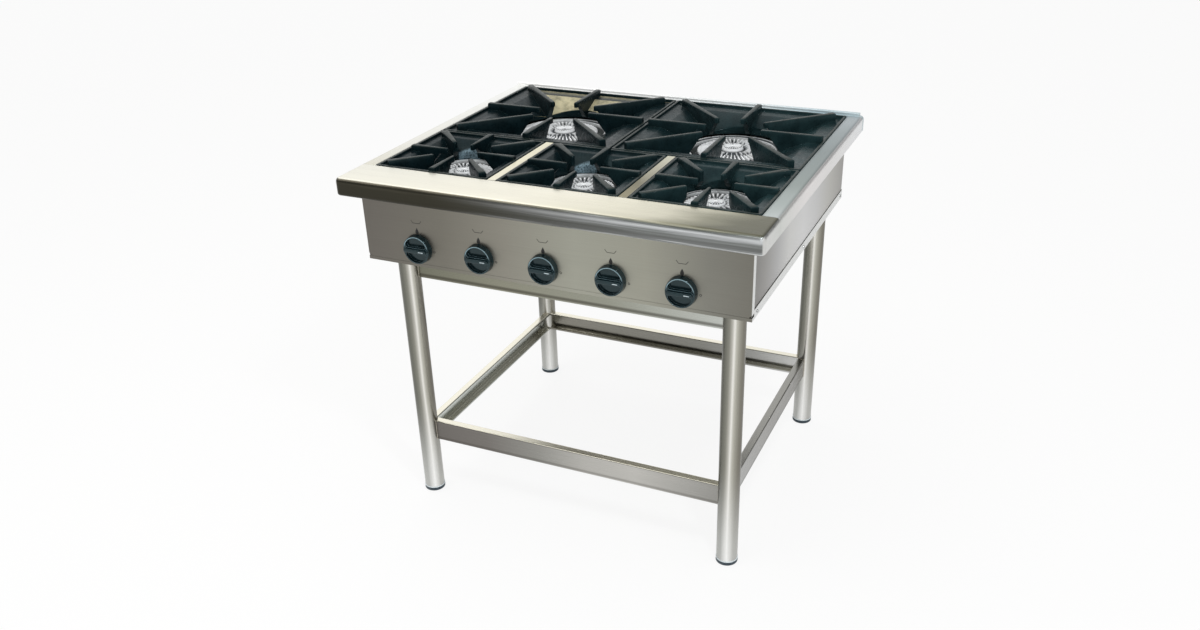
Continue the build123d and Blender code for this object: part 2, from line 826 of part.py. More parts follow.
def crown_form(size):
    """A whole crown about its own axis, at its real height."""
    top = crown_seat + size.crown_rise
    rim = size.crown_radius
    plate_rim = rim - size.tooth_width
    spigot = size.chamber_radius - bowl_wall - crown_clearance
    rim_floor = crown_seat + crown_plate
    hub_floor = top - size.crown_rise / 2
    rim_height = crown_seat + size.crown_rise * crown_shoulder
    with BuildPart() as teeth:
        with BuildSketch(Plane.XY.offset(crown_seat)):
            add(wedge_sketch(size.outer_row, rim, size.tooth_width, size.teeth))
            add(wedge_sketch(size.hub_radius, size.inner_row, size.fin_width, size.fins))
        extrude(amount=size.crown_rise, taper=tooth_draft)
        with BuildSketch(Plane.XZ):
            with BuildLine():
                Polyline(
                    (size.hub_radius, top),
                    (rim + crown_plate, rim_height),
                    (rim + crown_plate, top + crown_plate),
                    (size.hub_radius, top + crown_plate),
                    close=True,
                )
            make_face()
        revolve(axis=Axis.Z, mode=Mode.SUBTRACT)
    with BuildPart() as crown:
        with BuildSketch(Plane.XZ):
            with BuildLine():
                Polyline(
                    (0, crown_seat),
                    (spigot - spigot_wall, crown_seat),
                    (spigot - spigot_wall, crown_seat - crown_spigot),
                    (spigot, crown_seat - crown_spigot),
                    (spigot, crown_seat),
                    (plate_rim, crown_seat),
                    (plate_rim, rim_floor),
                    (size.hub_radius + crown_plate, hub_floor),
                    (size.hub_radius, top),
                    (0, top),
                    close=True,
                )
            make_face()
        revolve(axis=Axis.Z)
        add(teeth.part)
    return crown.part


small_crown_form = crown_form(small_burner)
large_crown_form = crown_form(large_burner)
for place, (size, x, y, mouth_x) in burner_places.items():
    with BuildPart() as crown:
        with Locations((x, y, 0)):
            add(large_crown_form if size is large_burner else small_crown_form)
    crown.part.label = f"burner_crown_{place}"
    export_step(crown.part, f"parts/burner_crown_{place}.step")


# Burner bars: two upside-down channels from side panel to side panel that carry the bowls
with BuildPart() as burner_bars:
    for y in (small_y, large_y):
        block((-side_inner, side_inner), (y - bar_width / 2, y + bar_width / 2),
              (bowl_seat - bar_height, bowl_seat))
        block((-side_inner, side_inner), (y - bar_width / 2 + bar_sheet, y + bar_width / 2 - bar_sheet),
              (bowl_seat - bar_height, bowl_seat - bar_sheet), mode=Mode.SUBTRACT)
burner_bars.part.label = "burner_bars"
export_step(burner_bars.part, "parts/burner_bars.step")


# Gas manifold: square tube, closed at the right, with a hole for each tap
manifold_y = manifold_size / 2 - manifold_front
manifold_x = manifold_end - manifold_size
with BuildPart() as gas_manifold:
    with BuildSketch(Plane.YZ.offset(-manifold_end)):
        with Locations((manifold_y, gas_height)):
            RectangleRounded(manifold_size, manifold_size, manifold_wall)
    extrude(amount=2 * manifold_end - manifold_size)
    with BuildSketch(Plane.YZ.offset(manifold_wall - manifold_end)):
        with Locations((manifold_y, gas_height)):
            Rectangle(manifold_size - 2 * manifold_wall, manifold_size - 2 * manifold_wall)
    extrude(amount=2 * manifold_end - manifold_size - 2 * manifold_wall, mode=Mode.SUBTRACT)
    with BuildSketch(Plane.XZ.offset(manifold_front)):
        with Locations(*[(x, gas_height) for x in knob_places]):
            Circle(tap_thread / 2)
    extrude(amount=-manifold_wall, mode=Mode.SUBTRACT)
    with BuildSketch(Plane.YZ.offset(-manifold_end)):
        with Locations((manifold_y, gas_height)):
            Circle(inlet_bore / 2)
    extrude(amount=manifold_wall, mode=Mode.SUBTRACT)
gas_manifold.part.label = "gas_manifold"
export_step(gas_manifold.part, "parts/gas_manifold.step")


# Gas inlet: a bent pipe from the manifold's left end to a threaded stub behind the back panel
inlet_end = body_back + inlet_stub
with BuildPart() as gas_inlet:
    with BuildLine() as inlet_path:
        FilletPolyline(
            (-manifold_end, manifold_y, gas_height),
            (-inlet_x, manifold_y, gas_height),
            (-inlet_x, inlet_end, gas_height),
            radius=inlet_bend,
        )
    with BuildSketch(Plane(origin=(-manifold_end, manifold_y, gas_height), x_dir=(0, 1, 0), z_dir=(-1, 0, 0))):
        Circle(inlet_diameter / 2)
        Circle(inlet_bore / 2, mode=Mode.SUBTRACT)
    sweep(path=inlet_path.line)
    with BuildSketch(Plane.XZ.offset(-back_outer)):
        with Locations((-inlet_x, gas_height)):
            RegularPolygon(inlet_nut_diameter / 2, 6)
            Circle(inlet_bore / 2, mode=Mode.SUBTRACT)
    extrude(amount=-inlet_nut_length)
gas_inlet.part.label = "gas_inlet"
export_step(gas_inlet.part, "parts/gas_inlet.step")


# Gas taps: barrel, hexagon and thread in the manifold, with the riser that leads up to the injector
spindle_radius = spindle_diameter / 2
tap_bore_radius = spindle_radius + spindle_fit
spindle_end = tap_front + spindle_in_tap
with BuildPart() as gas_taps:
    for x in knob_places:
        with BuildSketch(Plane.XZ.offset(-tap_front)):
            with Locations((x, gas_height)):
                Circle(tap_diameter / 2)
        extrude(amount=-tap_length)
        with BuildSketch(Plane.XZ.offset(-tap_rear + tap_hexagon_length)):
            with Locations((x, gas_height)):
                RegularPolygon(tap_hexagon / 2, 6, major_radius=False)
        extrude(amount=-tap_hexagon_length)
        with BuildSketch(Plane.XZ.offset(-tap_rear)):
            with Locations((x, gas_height)):
                Circle(tap_thread / 2)
        extrude(amount=-tap_thread_length)
        with BuildLine() as riser_path:
            FilletPolyline(
                (x, riser_y, gas_height),
                (x, riser_y, mixing_axis),
                (x, -injector_front, mixing_axis),
                radius=riser_diameter,
            )
        with BuildSketch(Plane.XY.offset(gas_height)):
            with Locations((x, riser_y)):
                Circle(riser_diameter / 2)
        sweep(path=riser_path.line)
        with BuildSketch(Plane.XZ.offset(-tap_front)):
            with Locations((x, gas_height)):
                Circle(tap_bore_radius)
        extrude(amount=-spindle_in_tap - spindle_end_gap, mode=Mode.SUBTRACT)
gas_taps.part.label = "gas_taps"
export_step(gas_taps.part, "parts/gas_taps.step")


# Injectors: brass hexagons with a drilled nozzle that points into the mixing tube
with BuildPart() as injectors:
    for x in knob_places:
        with BuildSketch(Plane.XZ.offset(injector_front)):
            with Locations((x, mixing_axis)):
                RegularPolygon(injector_hexagon / 2, 6, major_radius=False)
        extrude(amount=-injector_length)
        with BuildSketch(Plane.XZ.offset(injector_front - injector_length)):
            with Locations((x, mixing_axis)):
                Circle(injector_nozzle / 2)
        extrude(amount=-injector_nozzle_length, taper=injector_draft)
        with BuildSketch(Plane.XZ.offset(injector_front)):
            with Locations((x, mixing_axis)):
                Circle(injector_jet / 2)
        extrude(amount=-injector_length - injector_nozzle_length, mode=Mode.SUBTRACT)
injectors.part.label = "injectors"
export_step(injectors.part, "parts/injectors.step")


# Knobs: a disc with two D-shaped recesses either side of a grip ridge, on a flatted spindle
def knob_form():
    """A knob about its own axis, face towards +z, pointer towards +x."""
    face_radius = knob_face_diameter / 2
    recess_radius = face_radius - knob_rim
    ridge_top = knob_depth + knob_ridge_rise
    draft = degrees(atan((knob_diameter - knob_face_diameter) / 2 / knob_depth))
    with BuildPart() as knob:
        with BuildSketch(Plane.XY):
            Circle(knob_diameter / 2)
        extrude(amount=knob_depth, taper=draft)
        fillet(knob.edges().group_by(Axis.Z)[-1], knob_edge)
        with BuildSketch(Plane.XY.offset(knob_depth - knob_recess)) as pockets:
            Circle(recess_radius)
            Rectangle(knob_diameter, knob_ridge_width, mode=Mode.SUBTRACT)
            fillet(pockets.vertices(), knob_corner)
        extrude(amount=knob_recess, mode=Mode.SUBTRACT)
        with BuildSketch(Plane.XY.offset(knob_depth - knob_recess)):
            SlotOverall(knob_ridge_length, knob_ridge_width)
        extrude(amount=knob_recess + knob_ridge_rise, taper=knob_draft)
        fillet(knob.faces().sort_by(Axis.Z)[-1].edges(), knob_ridge_edge)
        with BuildSketch(Plane.XY.offset(ridge_top - pointer_depth)):
            with Locations((knob_ridge_length / 2 - pointer_length, 0)):
                SlotOverall(pointer_length, pointer_width)
        extrude(amount=pointer_depth, mode=Mode.SUBTRACT)
        with BuildSketch(Plane.XY):
            Circle(spindle_radius + spindle_fit)
            with Locations((0, spindle_diameter - spindle_flat)):
                Rectangle(2 * spindle_diameter, spindle_diameter, mode=Mode.SUBTRACT)
        extrude(amount=spindle_in_knob, mode=Mode.SUBTRACT)
    return knob.part


one_knob = knob_form()
for number, x in enumerate(knob_places, start=1):
    with BuildPart() as knob:
        with Locations(Plane(origin=(x, knob_back, gas_height), x_dir=(1, 0, 0), z_dir=(0, -1, 0)).location):
            add(one_knob)
    knob.part.label = f"knob_{number}"
    export_step(knob.part, f"parts/knob_{number}.step")

    spindle_tip = knob_back - spindle_in_knob + spindle_end_gap
    with BuildPart() as tap_spindle:
        with BuildSketch(Plane.XZ.offset(-spindle_end)):
            with Locations((x, gas_height)):
                Circle(spindle_radius)
        extrude(amount=spindle_end - spindle_tip)
        with BuildSketch(Plane.XZ.offset(-knob_back)):
            with Locations((x, gas_height + spindle_diameter - spindle_flat - spindle_fit)):
                Rectangle(2 * spindle_diameter, spindle_diameter)
        extrude(amount=spindle_in_knob, mode=Mode.SUBTRACT)
    tap_spindle.part.label = f"tap_spindle_{number}"
    export_step(tap_spindle.part, f"parts/tap_spindle_{number}.step")


# Screws of the panels: domed heads outside, shanks through both sheets
def screw_form():
    """A screw along z with its head's seat at zero, shank downwards."""
    with BuildPart() as screw:
        Cylinder(screw_shank / 2, screw_length, align=(Align.CENTER, Align.CENTER, Align.MAX))
        with BuildSketch(Plane.XY):
            Circle(screw_head / 2)
        extrude(amount=screw_head_height)
        fillet(screw.edges().group_by(Axis.Z)[-1], screw_dome)
    return screw.part


one_screw = screw_form()
with BuildPart() as panel_screws:
    for sign in (-1, 1):
        for y in side_screw_places:
            seat = Plane(origin=(sign * body_width / 2, y, side_screw_height), z_dir=(sign, 0, 0))
            with Locations(seat.location):
                add(one_screw)
    for x in back_screw_places:
        seat = Plane(origin=(x, body_back, back_screw_height), z_dir=(0, 1, 0))
        with Locations(seat.location):
            add(one_screw)
panel_screws.part.label = "panel_screws"
export_step(panel_screws.part, "parts/panel_screws.step")
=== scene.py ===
import json
import math
import random
from typing import NamedTuple

import bmesh
import bpy
from bpy.props import FloatProperty, FloatVectorProperty, IntProperty, PointerProperty
from mathutils import Matrix, Vector

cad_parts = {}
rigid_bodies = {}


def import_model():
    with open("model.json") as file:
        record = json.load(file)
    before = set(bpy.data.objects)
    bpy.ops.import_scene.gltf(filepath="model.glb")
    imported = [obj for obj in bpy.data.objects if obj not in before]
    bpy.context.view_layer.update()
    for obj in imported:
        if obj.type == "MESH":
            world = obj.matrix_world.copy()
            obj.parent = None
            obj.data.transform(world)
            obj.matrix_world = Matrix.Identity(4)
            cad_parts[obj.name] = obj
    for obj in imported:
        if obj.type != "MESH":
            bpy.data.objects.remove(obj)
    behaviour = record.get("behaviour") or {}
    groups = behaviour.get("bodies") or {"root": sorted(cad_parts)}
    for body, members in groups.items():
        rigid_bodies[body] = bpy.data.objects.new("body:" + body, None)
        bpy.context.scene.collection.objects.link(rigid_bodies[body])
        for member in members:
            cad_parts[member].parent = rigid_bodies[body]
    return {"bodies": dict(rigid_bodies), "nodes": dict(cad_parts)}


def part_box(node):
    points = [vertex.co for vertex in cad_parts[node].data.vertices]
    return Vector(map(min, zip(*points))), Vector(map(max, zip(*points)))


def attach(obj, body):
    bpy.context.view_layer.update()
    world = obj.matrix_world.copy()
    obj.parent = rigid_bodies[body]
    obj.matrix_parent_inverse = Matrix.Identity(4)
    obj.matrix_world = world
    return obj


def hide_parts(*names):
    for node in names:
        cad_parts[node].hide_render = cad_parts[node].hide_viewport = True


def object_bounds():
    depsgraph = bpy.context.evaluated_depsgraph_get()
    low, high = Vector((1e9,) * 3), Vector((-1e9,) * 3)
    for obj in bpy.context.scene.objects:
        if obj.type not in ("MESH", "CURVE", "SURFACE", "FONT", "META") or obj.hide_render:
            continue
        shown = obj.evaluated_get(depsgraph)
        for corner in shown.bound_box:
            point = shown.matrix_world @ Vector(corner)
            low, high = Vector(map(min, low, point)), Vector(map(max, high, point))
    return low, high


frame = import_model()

bl_info = {
    "name": "Gas stove looks",
    "version": (1, 0, 0),
    "blender": (4, 5, 0),
    "location": "View3D > Sidebar > Stove",
    "description": "Finishes, printed marks, welds and stage for a five-burner gas stove",
    "category": "Object",
}

MM = 0.001
KNOBS = sorted(n for n in frame["nodes"] if n.startswith("knob_"))
LEGS = sorted(n for n in frame["nodes"] if n.startswith("leg_"))
GRATES = sorted(n for n in frame["nodes"] if n.startswith("grate_"))
CROWNS = sorted(n for n in frame["nodes"] if n.startswith("burner_crown_"))
BOWLS = sorted(n for n in frame["nodes"] if n.startswith("burner_body_"))
OBJECT_LOW, OBJECT_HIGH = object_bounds()


def shade(red, green, blue):
    """A colour as it looks on a screen, 0 to 255, as the linear value that a shader takes."""
    def linear(value):
        share = value / 255
        return share / 12.92 if share <= 0.04045 else ((share + 0.055) / 1.055) ** 2.4
    return linear(red), linear(green), linear(blue)


def colour(title, told, default):
    """A colour property."""
    return FloatVectorProperty(name=title, description=told, size=3, subtype="COLOR", min=0.0, max=1.0,
                               default=default)


def length(title, told, default):
    """A length property in metres."""
    return FloatProperty(name=title, description=told, default=default, min=0.0, unit="LENGTH", precision=4)


def share(title, told, default, top=1.0):
    """A property between nothing and the whole."""
    return FloatProperty(name=title, description=told, default=default, min=0.0, max=top, subtype="FACTOR")


# Settings that a user would change

class WorktopLook(bpy.types.PropertyGroup):
    """Brushing of the worktop."""
    roughness: share("Roughness", "How far the brushing spreads a reflection", 0.30)
    nose_rounding: length("Nose rounding", "Radius that the folded nose seems to have", 6.0 * MM)


class BodyLook(bpy.types.PropertyGroup):
    """Satin of the panels under the worktop."""
    # A painted highlight on the folded edges and the band below
    edge: colour("Folded edge", "Tone of the folded edges and of the band below", shade(226, 227, 226))
    roughness: share("Roughness", "How far the satin finish spreads a reflection", 0.38)


class StandLook(bpy.types.PropertyGroup):
    """Legs, rails and feet."""
    # Painted light on the rails' upper faces, with a painted shaded copy for the lower right rail
    rail_top_lit: colour("Rail top", "Tone of the upper faces of the rails", shade(240, 236, 220))
    rail_top_shaded: colour("Shaded rail top", "Tone of the lower right rail's upper face",
                            shade(156, 155, 150))
    # Painted shade along a rail's folds
    fold_shade: colour("Fold line", "Tone of the thin lines along a rail's folds", shade(64, 60, 52))
    foot: colour("Foot", "Colour of the foot cap", shade(40, 56, 66))
    ring: colour("Foot ring", "Colour of the ring above the cap", shade(238, 246, 250))
    ring_height: length("Ring height", "Height of the pale ring at the top of a foot", 2.0 * MM)
    glint: FloatVectorProperty(name="Glint", description="Where the bright stripe on each leg looks", size=3,
                               default=(1.02, -2.31, 0.0), subtype="TRANSLATION", unit="LENGTH")
    pale_height: length("Pale height", "How far up a leg the pale floor shows in it", 300.0 * MM)
    roughness: share("Roughness", "How far the finish spreads a reflection", 0.25)


class GrateLook(bpy.types.PropertyGroup):
    """Enamel of the cast grates."""
    enamel: colour("Enamel", "Colour of the enamel", shade(6, 17, 20))
    haze: colour("Haze", "Colour of the enamel where it is dull", shade(12, 27, 31))
    # A painted sheen that lightens the enamel towards the right
    dull: colour("Dull", "Colour of the enamel where it is dullest, towards the right", shade(40, 62, 64))
    # A painted reflection on the level tops of rims and fingers
    crest: colour("Crest", "Colour of the level tops of rims and fingers", shade(30, 36, 30))
    gleam: colour("Gleam", "Tint of what the enamel reflects", (0.50, 0.86, 0.92))
    # Worn edges that also carry a painted highlight
    edge: colour("Worn edge", "Colour of the enamel along edges", shade(50, 62, 60))
    # Bare chips along the edges, painted bright as glints
    chip_glint: colour("Chip", "Colour of the bare spots along edges", shade(176, 190, 194))
    # A painted pale reflection, speckled, beside the hole of a front grate
    pale_reflection: colour("Burnt patch", "Colour of the patch that the flame has bleached", shade(132, 156, 168))
    speck: colour("Speck", "Colour of the pale specks", shade(120, 140, 150))
    # A painted warm reflection on the forward slopes of the rear dishes
    warm_reflection: colour("Warm film", "Colour of the film of old grease on the rear slopes", shade(216, 206, 168))
    edge_width: length("Edge width", "Width of the worn edges", 0.9 * MM)
    roughness: share("Roughness", "How matt the enamel is", 0.28)
    rim_width: length("Rim width", "Width of the rim round a grate", 7.0 * MM)
    rim_rise: length("Rim rise", "Height of the rim over the worktop", 1.0 * MM)
    ledge_drop: length("Ledge drop", "How far the ledge inside the rim lies below the worktop", 6.0 * MM)
    plate: length("Plate", "Thickness of the ledge and the dish", 5.0 * MM)
    collar_wall: length("Collar wall", "Thickness of the collar round the hole", 5.0 * MM)
    corner: length("Corner", "Radius of a grate's outer corners", 6.0 * MM)
    soft_edge: length("Soft edge", "Rounding of the cast edges of the rim and the collar", 1.2 * MM)
    crest_edge: length("Crest edge", "Rounding along the top of a finger", 2.4 * MM)
    nose: length("Nose", "Rounding of a finger's inner end", 2.4 * MM)
    nose_drop: length("Nose drop", "How far a finger's top falls at its inner end", 1.6 * MM)
    heel: length("Heel", "Rounding of a finger's outer end", 1.4 * MM)
    heel_drop: length("Heel drop", "How far a finger's top falls at its outer end", 1.2 * MM)


class BurnerLook(bpy.types.PropertyGroup):
    """Cast aluminium of the burners."""
    crown: colour("Crown", "Colour of the crowns", shade(250, 252, 253))
    # Painted shade in the gaps between the ribs
    gap: colour("Gap", "Colour in the gaps between the ribs", shade(64, 70, 74))
    gap_depth: length("Gap depth", "Height over a gap's floor at which a rib turns bright", 6.5 * MM)
    hub_rib_width: length("Hub rib width", "Width of a rib over a crown's middle, at its outer end", 3.0 * MM)
    hub_rib_rise: length("Hub rib rise", "Height of such a rib", 2.4 * MM)
    hub_core: length("Hub core", "Radius of the plain boss inside the ribs", 4.0 * MM)
    # Painted shade in the groove of the ring's top
    groove: colour("Groove", "Colour of the turned groove in the ring's top", shade(66, 72, 76))
    lip: colour("Ring lip", "Colour of the ring round a bowl", shade(244, 247, 248))
    bowl: colour("Bowl", "Colour of a bowl inside", shade(112, 116, 116))
    soot: colour("Soot", "Colour of soot in the bowls", shade(34, 34, 33))
    lip_height: length("Lip height", "Height of the bright lip of a bowl", 9.0 * MM)
    roughness: share("Roughness", "How matt the casting is", 0.40)


class KnobLook(bpy.types.PropertyGroup):
    """Glossy plastic of the knobs."""
    body: colour("Knob", "Colour of the knobs", shade(8, 24, 28))
    # Painted sheen along the knobs' edges and a painted highlight round the dial
    sheen: colour("Knob sheen", "Colour of the knobs' rubbed edges", shade(140, 164, 172))
    dial: length("Dial", "Radius of the sunk dial of a knob", 30.25 * MM)
    dial_sheen_width: length("Dial rim", "Width of the rubbed rim round the dial", 2.4 * MM)
    pointer: colour("Pointer", "Colour of the pointer's inlay", shade(205, 216, 220))
    pointer_length: length("Pointer length", "Length of the pointer's inlay", 12.6 * MM)
    pointer_width: length("Pointer width", "Width of the pointer's inlay", 1.8 * MM)
    pointer_place: length("Pointer place", "Middle of the inlay, from the knob's axis", 17.0 * MM)
    pointer_depth: length("Pointer depth", "Thickness of the inlay", 0.9 * MM)
    roughness: share("Roughness", "How matt the knobs are", 0.14)


class MarkSizes(bpy.types.PropertyGroup):
    """Printed marks round each knob."""
    ink: colour("Ink", "Colour of the printing", shade(16, 16, 16))
    faint_ink: colour("Faint ink", "Colour of the thin lines", shade(32, 30, 26))
    thickness: length("Ink thickness", "How far the printing stands off the panel", 0.12 * MM)
    flame_width: length("Flame width", "Width of the printed flame drop", 9.6 * MM)
    flame_height: length("Flame height", "Height of the printed flame drop", 15.0 * MM)
    flame_rise: length("Flame rise", "Middle of the flame drop above the knob's axis", 43.0 * MM)
    bracket_width: length("Bracket width", "Width of the printed bracket", 27.0 * MM)
    bracket_height: length("Bracket height", "Height of the printed bracket", 6.4 * MM)
    bracket_rise: length("Bracket rise", "Foot of the bracket above the knob's axis", 61.5 * MM)
    line: length("Line", "Width of a printed line", 1.2 * MM)
    off_radius: length("Off radius", "Radius of the small ring that marks off", 2.8 * MM)
    off_place: length("Off place", "Middle of the small ring from the knob's axis", 41.0 * MM)
    off_drop: length("Off drop", "How far the small ring lies below the knob's axis", 3.0 * MM)


class WeldSizes(bpy.types.PropertyGroup):
    """Beads where the stand is welded."""
    bead: length("Bead", "Half the thickness of a bead", 1.5 * MM)
    step: length("Step", "Length of one ripple", 2.2 * MM)
    seed: IntProperty(name="Seed", description="Start of the unevenness of the beads", default=11)


class ScrewSizes(bpy.types.PropertyGroup):
    """Heads of the panel screws."""
    head: length("Head", "Radius of a screw's head", 4.0 * MM)
    rise: length("Rise", "Height of a screw's head", 2.3 * MM)
    slot_reach: length("Slot reach", "Half the length of the cross in the head", 2.3 * MM)
    slot_width: length("Slot width", "Half the width of the cross in the head", 0.5 * MM)
    slot_depth: length("Slot depth", "Depth of the cross in the head", 1.3 * MM)


class StageSettings(bpy.types.PropertyGroup):
    """Camera, floor and light."""
    azimuth: FloatProperty(name="Azimuth", description="Camera's turn about the upright",
                           default=math.radians(24.649), subtype="ANGLE")
    elevation: FloatProperty(name="Elevation", description="Camera's height above the horizon",
                             default=math.radians(28.139), subtype="ANGLE")
    roll: FloatProperty(name="Roll", description="Camera's tilt about its own axis",
                        default=math.radians(-1.541), subtype="ANGLE")
    lens: FloatProperty(name="Lens", description="Focal length on a 36 mm sensor", default=32.59,
                        subtype="DISTANCE_CAMERA")
    place: FloatVectorProperty(name="Camera place", description="Where the camera stands", size=3,
                               default=(1.02215, -2.30537, 1.67924), subtype="TRANSLATION", unit="LENGTH")
    shift: FloatVectorProperty(name="Shift", description="Camera shift, sideways and up", size=2,
                               default=(-0.0062, 0.0304))
    floor: colour("Floor", "Colour of the floor", shade(250, 250, 249))
    room: share("Room light", "Strength of the plain room light", 0.62, top=3.0)
    key: FloatProperty(name="Key lamp", description="Power of the large lamp above", default=26.0, min=0.0,
                       unit="POWER")
    fill: FloatProperty(name="Fill lamp", description="Power of the lamp in front", default=9.0, min=0.0,
                        unit="POWER")
    glint: FloatProperty(name="Glint lamp", description="Power of the small lamp that edges glint in",
                         default=14.0, min=0.0, unit="POWER")


# Node recipes

class Recipe:
    """The node tree of one finish. Places are read in metres in the object's own frame."""

    def __init__(self, name, roughness=0.4, metallic=0.0):
        self.material = bpy.data.materials.new(name)
        self.material.use_nodes = True
        self.tree = self.material.node_tree
        self.tree.nodes.clear()
        self.shader = self.node("ShaderNodeBsdfPrincipled")
        self.shader.inputs["Roughness"].default_value = roughness
        self.shader.inputs["Metallic"].default_value = metallic
        output = self.node("ShaderNodeOutputMaterial")
        self.join(self.shader.outputs["BSDF"], output.inputs["Surface"])
        self.coordinates = self.node("ShaderNodeTexCoord").outputs["Object"]

    def node(self, kind, **settings):
        made = self.tree.nodes.new(kind)
        for key, value in settings.items():
            setattr(made, key, value)
        return made

    def join(self, source, target):
        """Links a socket, or writes a plain value into the target."""
        if isinstance(source, bpy.types.NodeSocket):
            self.tree.links.new(source, target)
        elif hasattr(source, "__len__") and len(source) == 3 and target.type == "RGBA":
            target.default_value = (*source, 1.0)
        else:
            target.default_value = source

    def set(self, socket, source):
        self.join(source, self.shader.inputs[socket])

    def axis(self, name, source=None):
        split = self.node("ShaderNodeSeparateXYZ")
        self.join(self.coordinates if source is None else source, split.inputs[0])
        return split.outputs[name]

    def facing(self, name):
        """How far the surface itself looks along an axis, from -1 to 1."""
        return self.axis(name, self.node("ShaderNodeNewGeometry").outputs["Normal"])

    def math(self, operation, first, second=0.0, clamp=False):
        made = self.node("ShaderNodeMath", operation=operation, use_clamp=clamp)
        self.join(first, made.inputs[0])
        self.join(second, made.inputs[1])
        return made.outputs[0]

    def span(self, value, low, high, start=0.0, end=1.0):
        """A value between low and high as one between start and end, held at both ends."""
        made = self.node("ShaderNodeMapRange", clamp=True)
        for target, source in zip(made.inputs, (value, low, high, start, end)):
            self.join(source, target)
        return made.outputs[0]

    def ease(self, value, low, high):
        made = self.node("ShaderNodeMapRange", clamp=True, interpolation_type="SMOOTHSTEP")
        for target, source in zip(made.inputs, (value, low, high, 0.0, 1.0)):
            self.join(source, target)
        return made.outputs[0]

    def mix(self, factor, first, second, blend="MIX"):
        made = self.node("ShaderNodeMix", data_type="RGBA", blend_type=blend)
        self.join(factor, made.inputs[0])
        self.join(first, made.inputs[6])
        self.join(second, made.inputs[7])
        return made.outputs[2]

    def ramp(self, value, stops):
        """Tones along a value from 0 to 1, given as pairs of a place and a tone."""
        made = self.node("ShaderNodeValToRGB")
        self.join(value, made.inputs[0])
        band = made.color_ramp.elements
        band.remove(band[-1])
        for number, (place, tone) in enumerate(stops):
            stop = band[0] if number == 0 else band.new(place)
            stop.position = place
            stop.color = (*tone, 1.0)
        return made.outputs[0]

    def product(self, *values):
        """All the values multiplied together."""
        made = values[0]
        for value in values[1:]:
            made = self.math("MULTIPLY", made, value)
        return made

    def along(self, name, low, high):
        """How far a point lies along an axis, from 0 at low to 1 at high."""
        return self.span(self.axis(name), low, high)

    def past(self, name, middle):
        """How far a point lies past a middle along an axis."""
        return self.math("SUBTRACT", self.axis(name), getattr(middle, name.lower()))

    def reach(self, middle, axes="XY"):
        """How far a point lies from a middle, measured across two axes."""
        parts = [self.past(name, middle) for name in axes]
        squares = [self.product(part, part) for part in parts]
        return self.math("SQRT", self.math("ADD", *squares))

    def round_axis(self, centre, ahead):
        """How far round an upright axis a point lies, as a share of a half turn, 0.5 straight ahead."""
        turn = self.math("ARCTAN2", self.past("Y", centre), self.past("X", centre))
        turn = self.math("SUBTRACT", turn, ahead)
        return self.math("FRACT", self.math("ADD", self.math("DIVIDE", turn, math.pi), 0.5))

    def uneven(self, scale, low, high, spread=(0.3, 0.7), detail=4.0, roughness=0.55):
        """Noise that runs between two values, over the spread of it that counts."""
        return self.span(self.noise(scale, detail=detail, roughness=roughness), *spread, low, high)

    def stretched(self, scale):
        made = self.node("ShaderNodeMapping")
        self.join(self.coordinates, made.inputs["Vector"])
        made.inputs["Scale"].default_value = scale
        return made.outputs[0]

    def noise(self, scale, stretch=(1.0, 1.0, 1.0), detail=4.0, roughness=0.55):
        made = self.node("ShaderNodeTexNoise")
        self.join(self.stretched(stretch), made.inputs["Vector"])
        made.inputs["Scale"].default_value = scale
        made.inputs["Detail"].default_value = detail
        made.inputs["Roughness"].default_value = roughness
        return made.outputs["Fac"]

    def cells(self, scale, feature="F1"):
        made = self.node("ShaderNodeTexVoronoi", feature=feature)
        self.join(self.coordinates, made.inputs["Vector"])
        made.inputs["Scale"].default_value = scale
        return made.outputs["Distance"]

    def rounded(self, radius):
        made = self.node("ShaderNodeBevel", samples=4)
        made.inputs["Radius"].default_value = radius
        return made.outputs[0]

    def worn(self, radius, gain):
        """1 along edges, 0 on open faces: how far a rounded normal leans from the true one."""
        dot = self.node("ShaderNodeVectorMath", operation="DOT_PRODUCT")
        self.join(self.rounded(radius), dot.inputs[0])
        self.join(self.node("ShaderNodeNewGeometry").outputs["Normal"], dot.inputs[1])
        lean = self.math("SUBTRACT", 1.0, dot.outputs["Value"])
        return self.math("MULTIPLY", lean, gain, clamp=True)

    def bump(self, height, strength, distance, normal=None):
        made = self.node("ShaderNodeBump")
        made.inputs["Strength"].default_value = strength
        made.inputs["Distance"].default_value = distance
        self.join(height, made.inputs["Height"])
        if normal is not None:
            self.join(normal, made.inputs["Normal"])
        self.set("Normal", made.outputs[0])


GRAIN = {
    "x": (1.2, 300.0, 300.0),
    "y": (300.0, 1.2, 300.0),
    "z": (300.0, 300.0, 1.2),
}
ALONG = {"x": (1.0, 0.0, 0.0), "y": (0.0, 1.0, 0.0), "z": (0.0, 0.0, 1.0)}


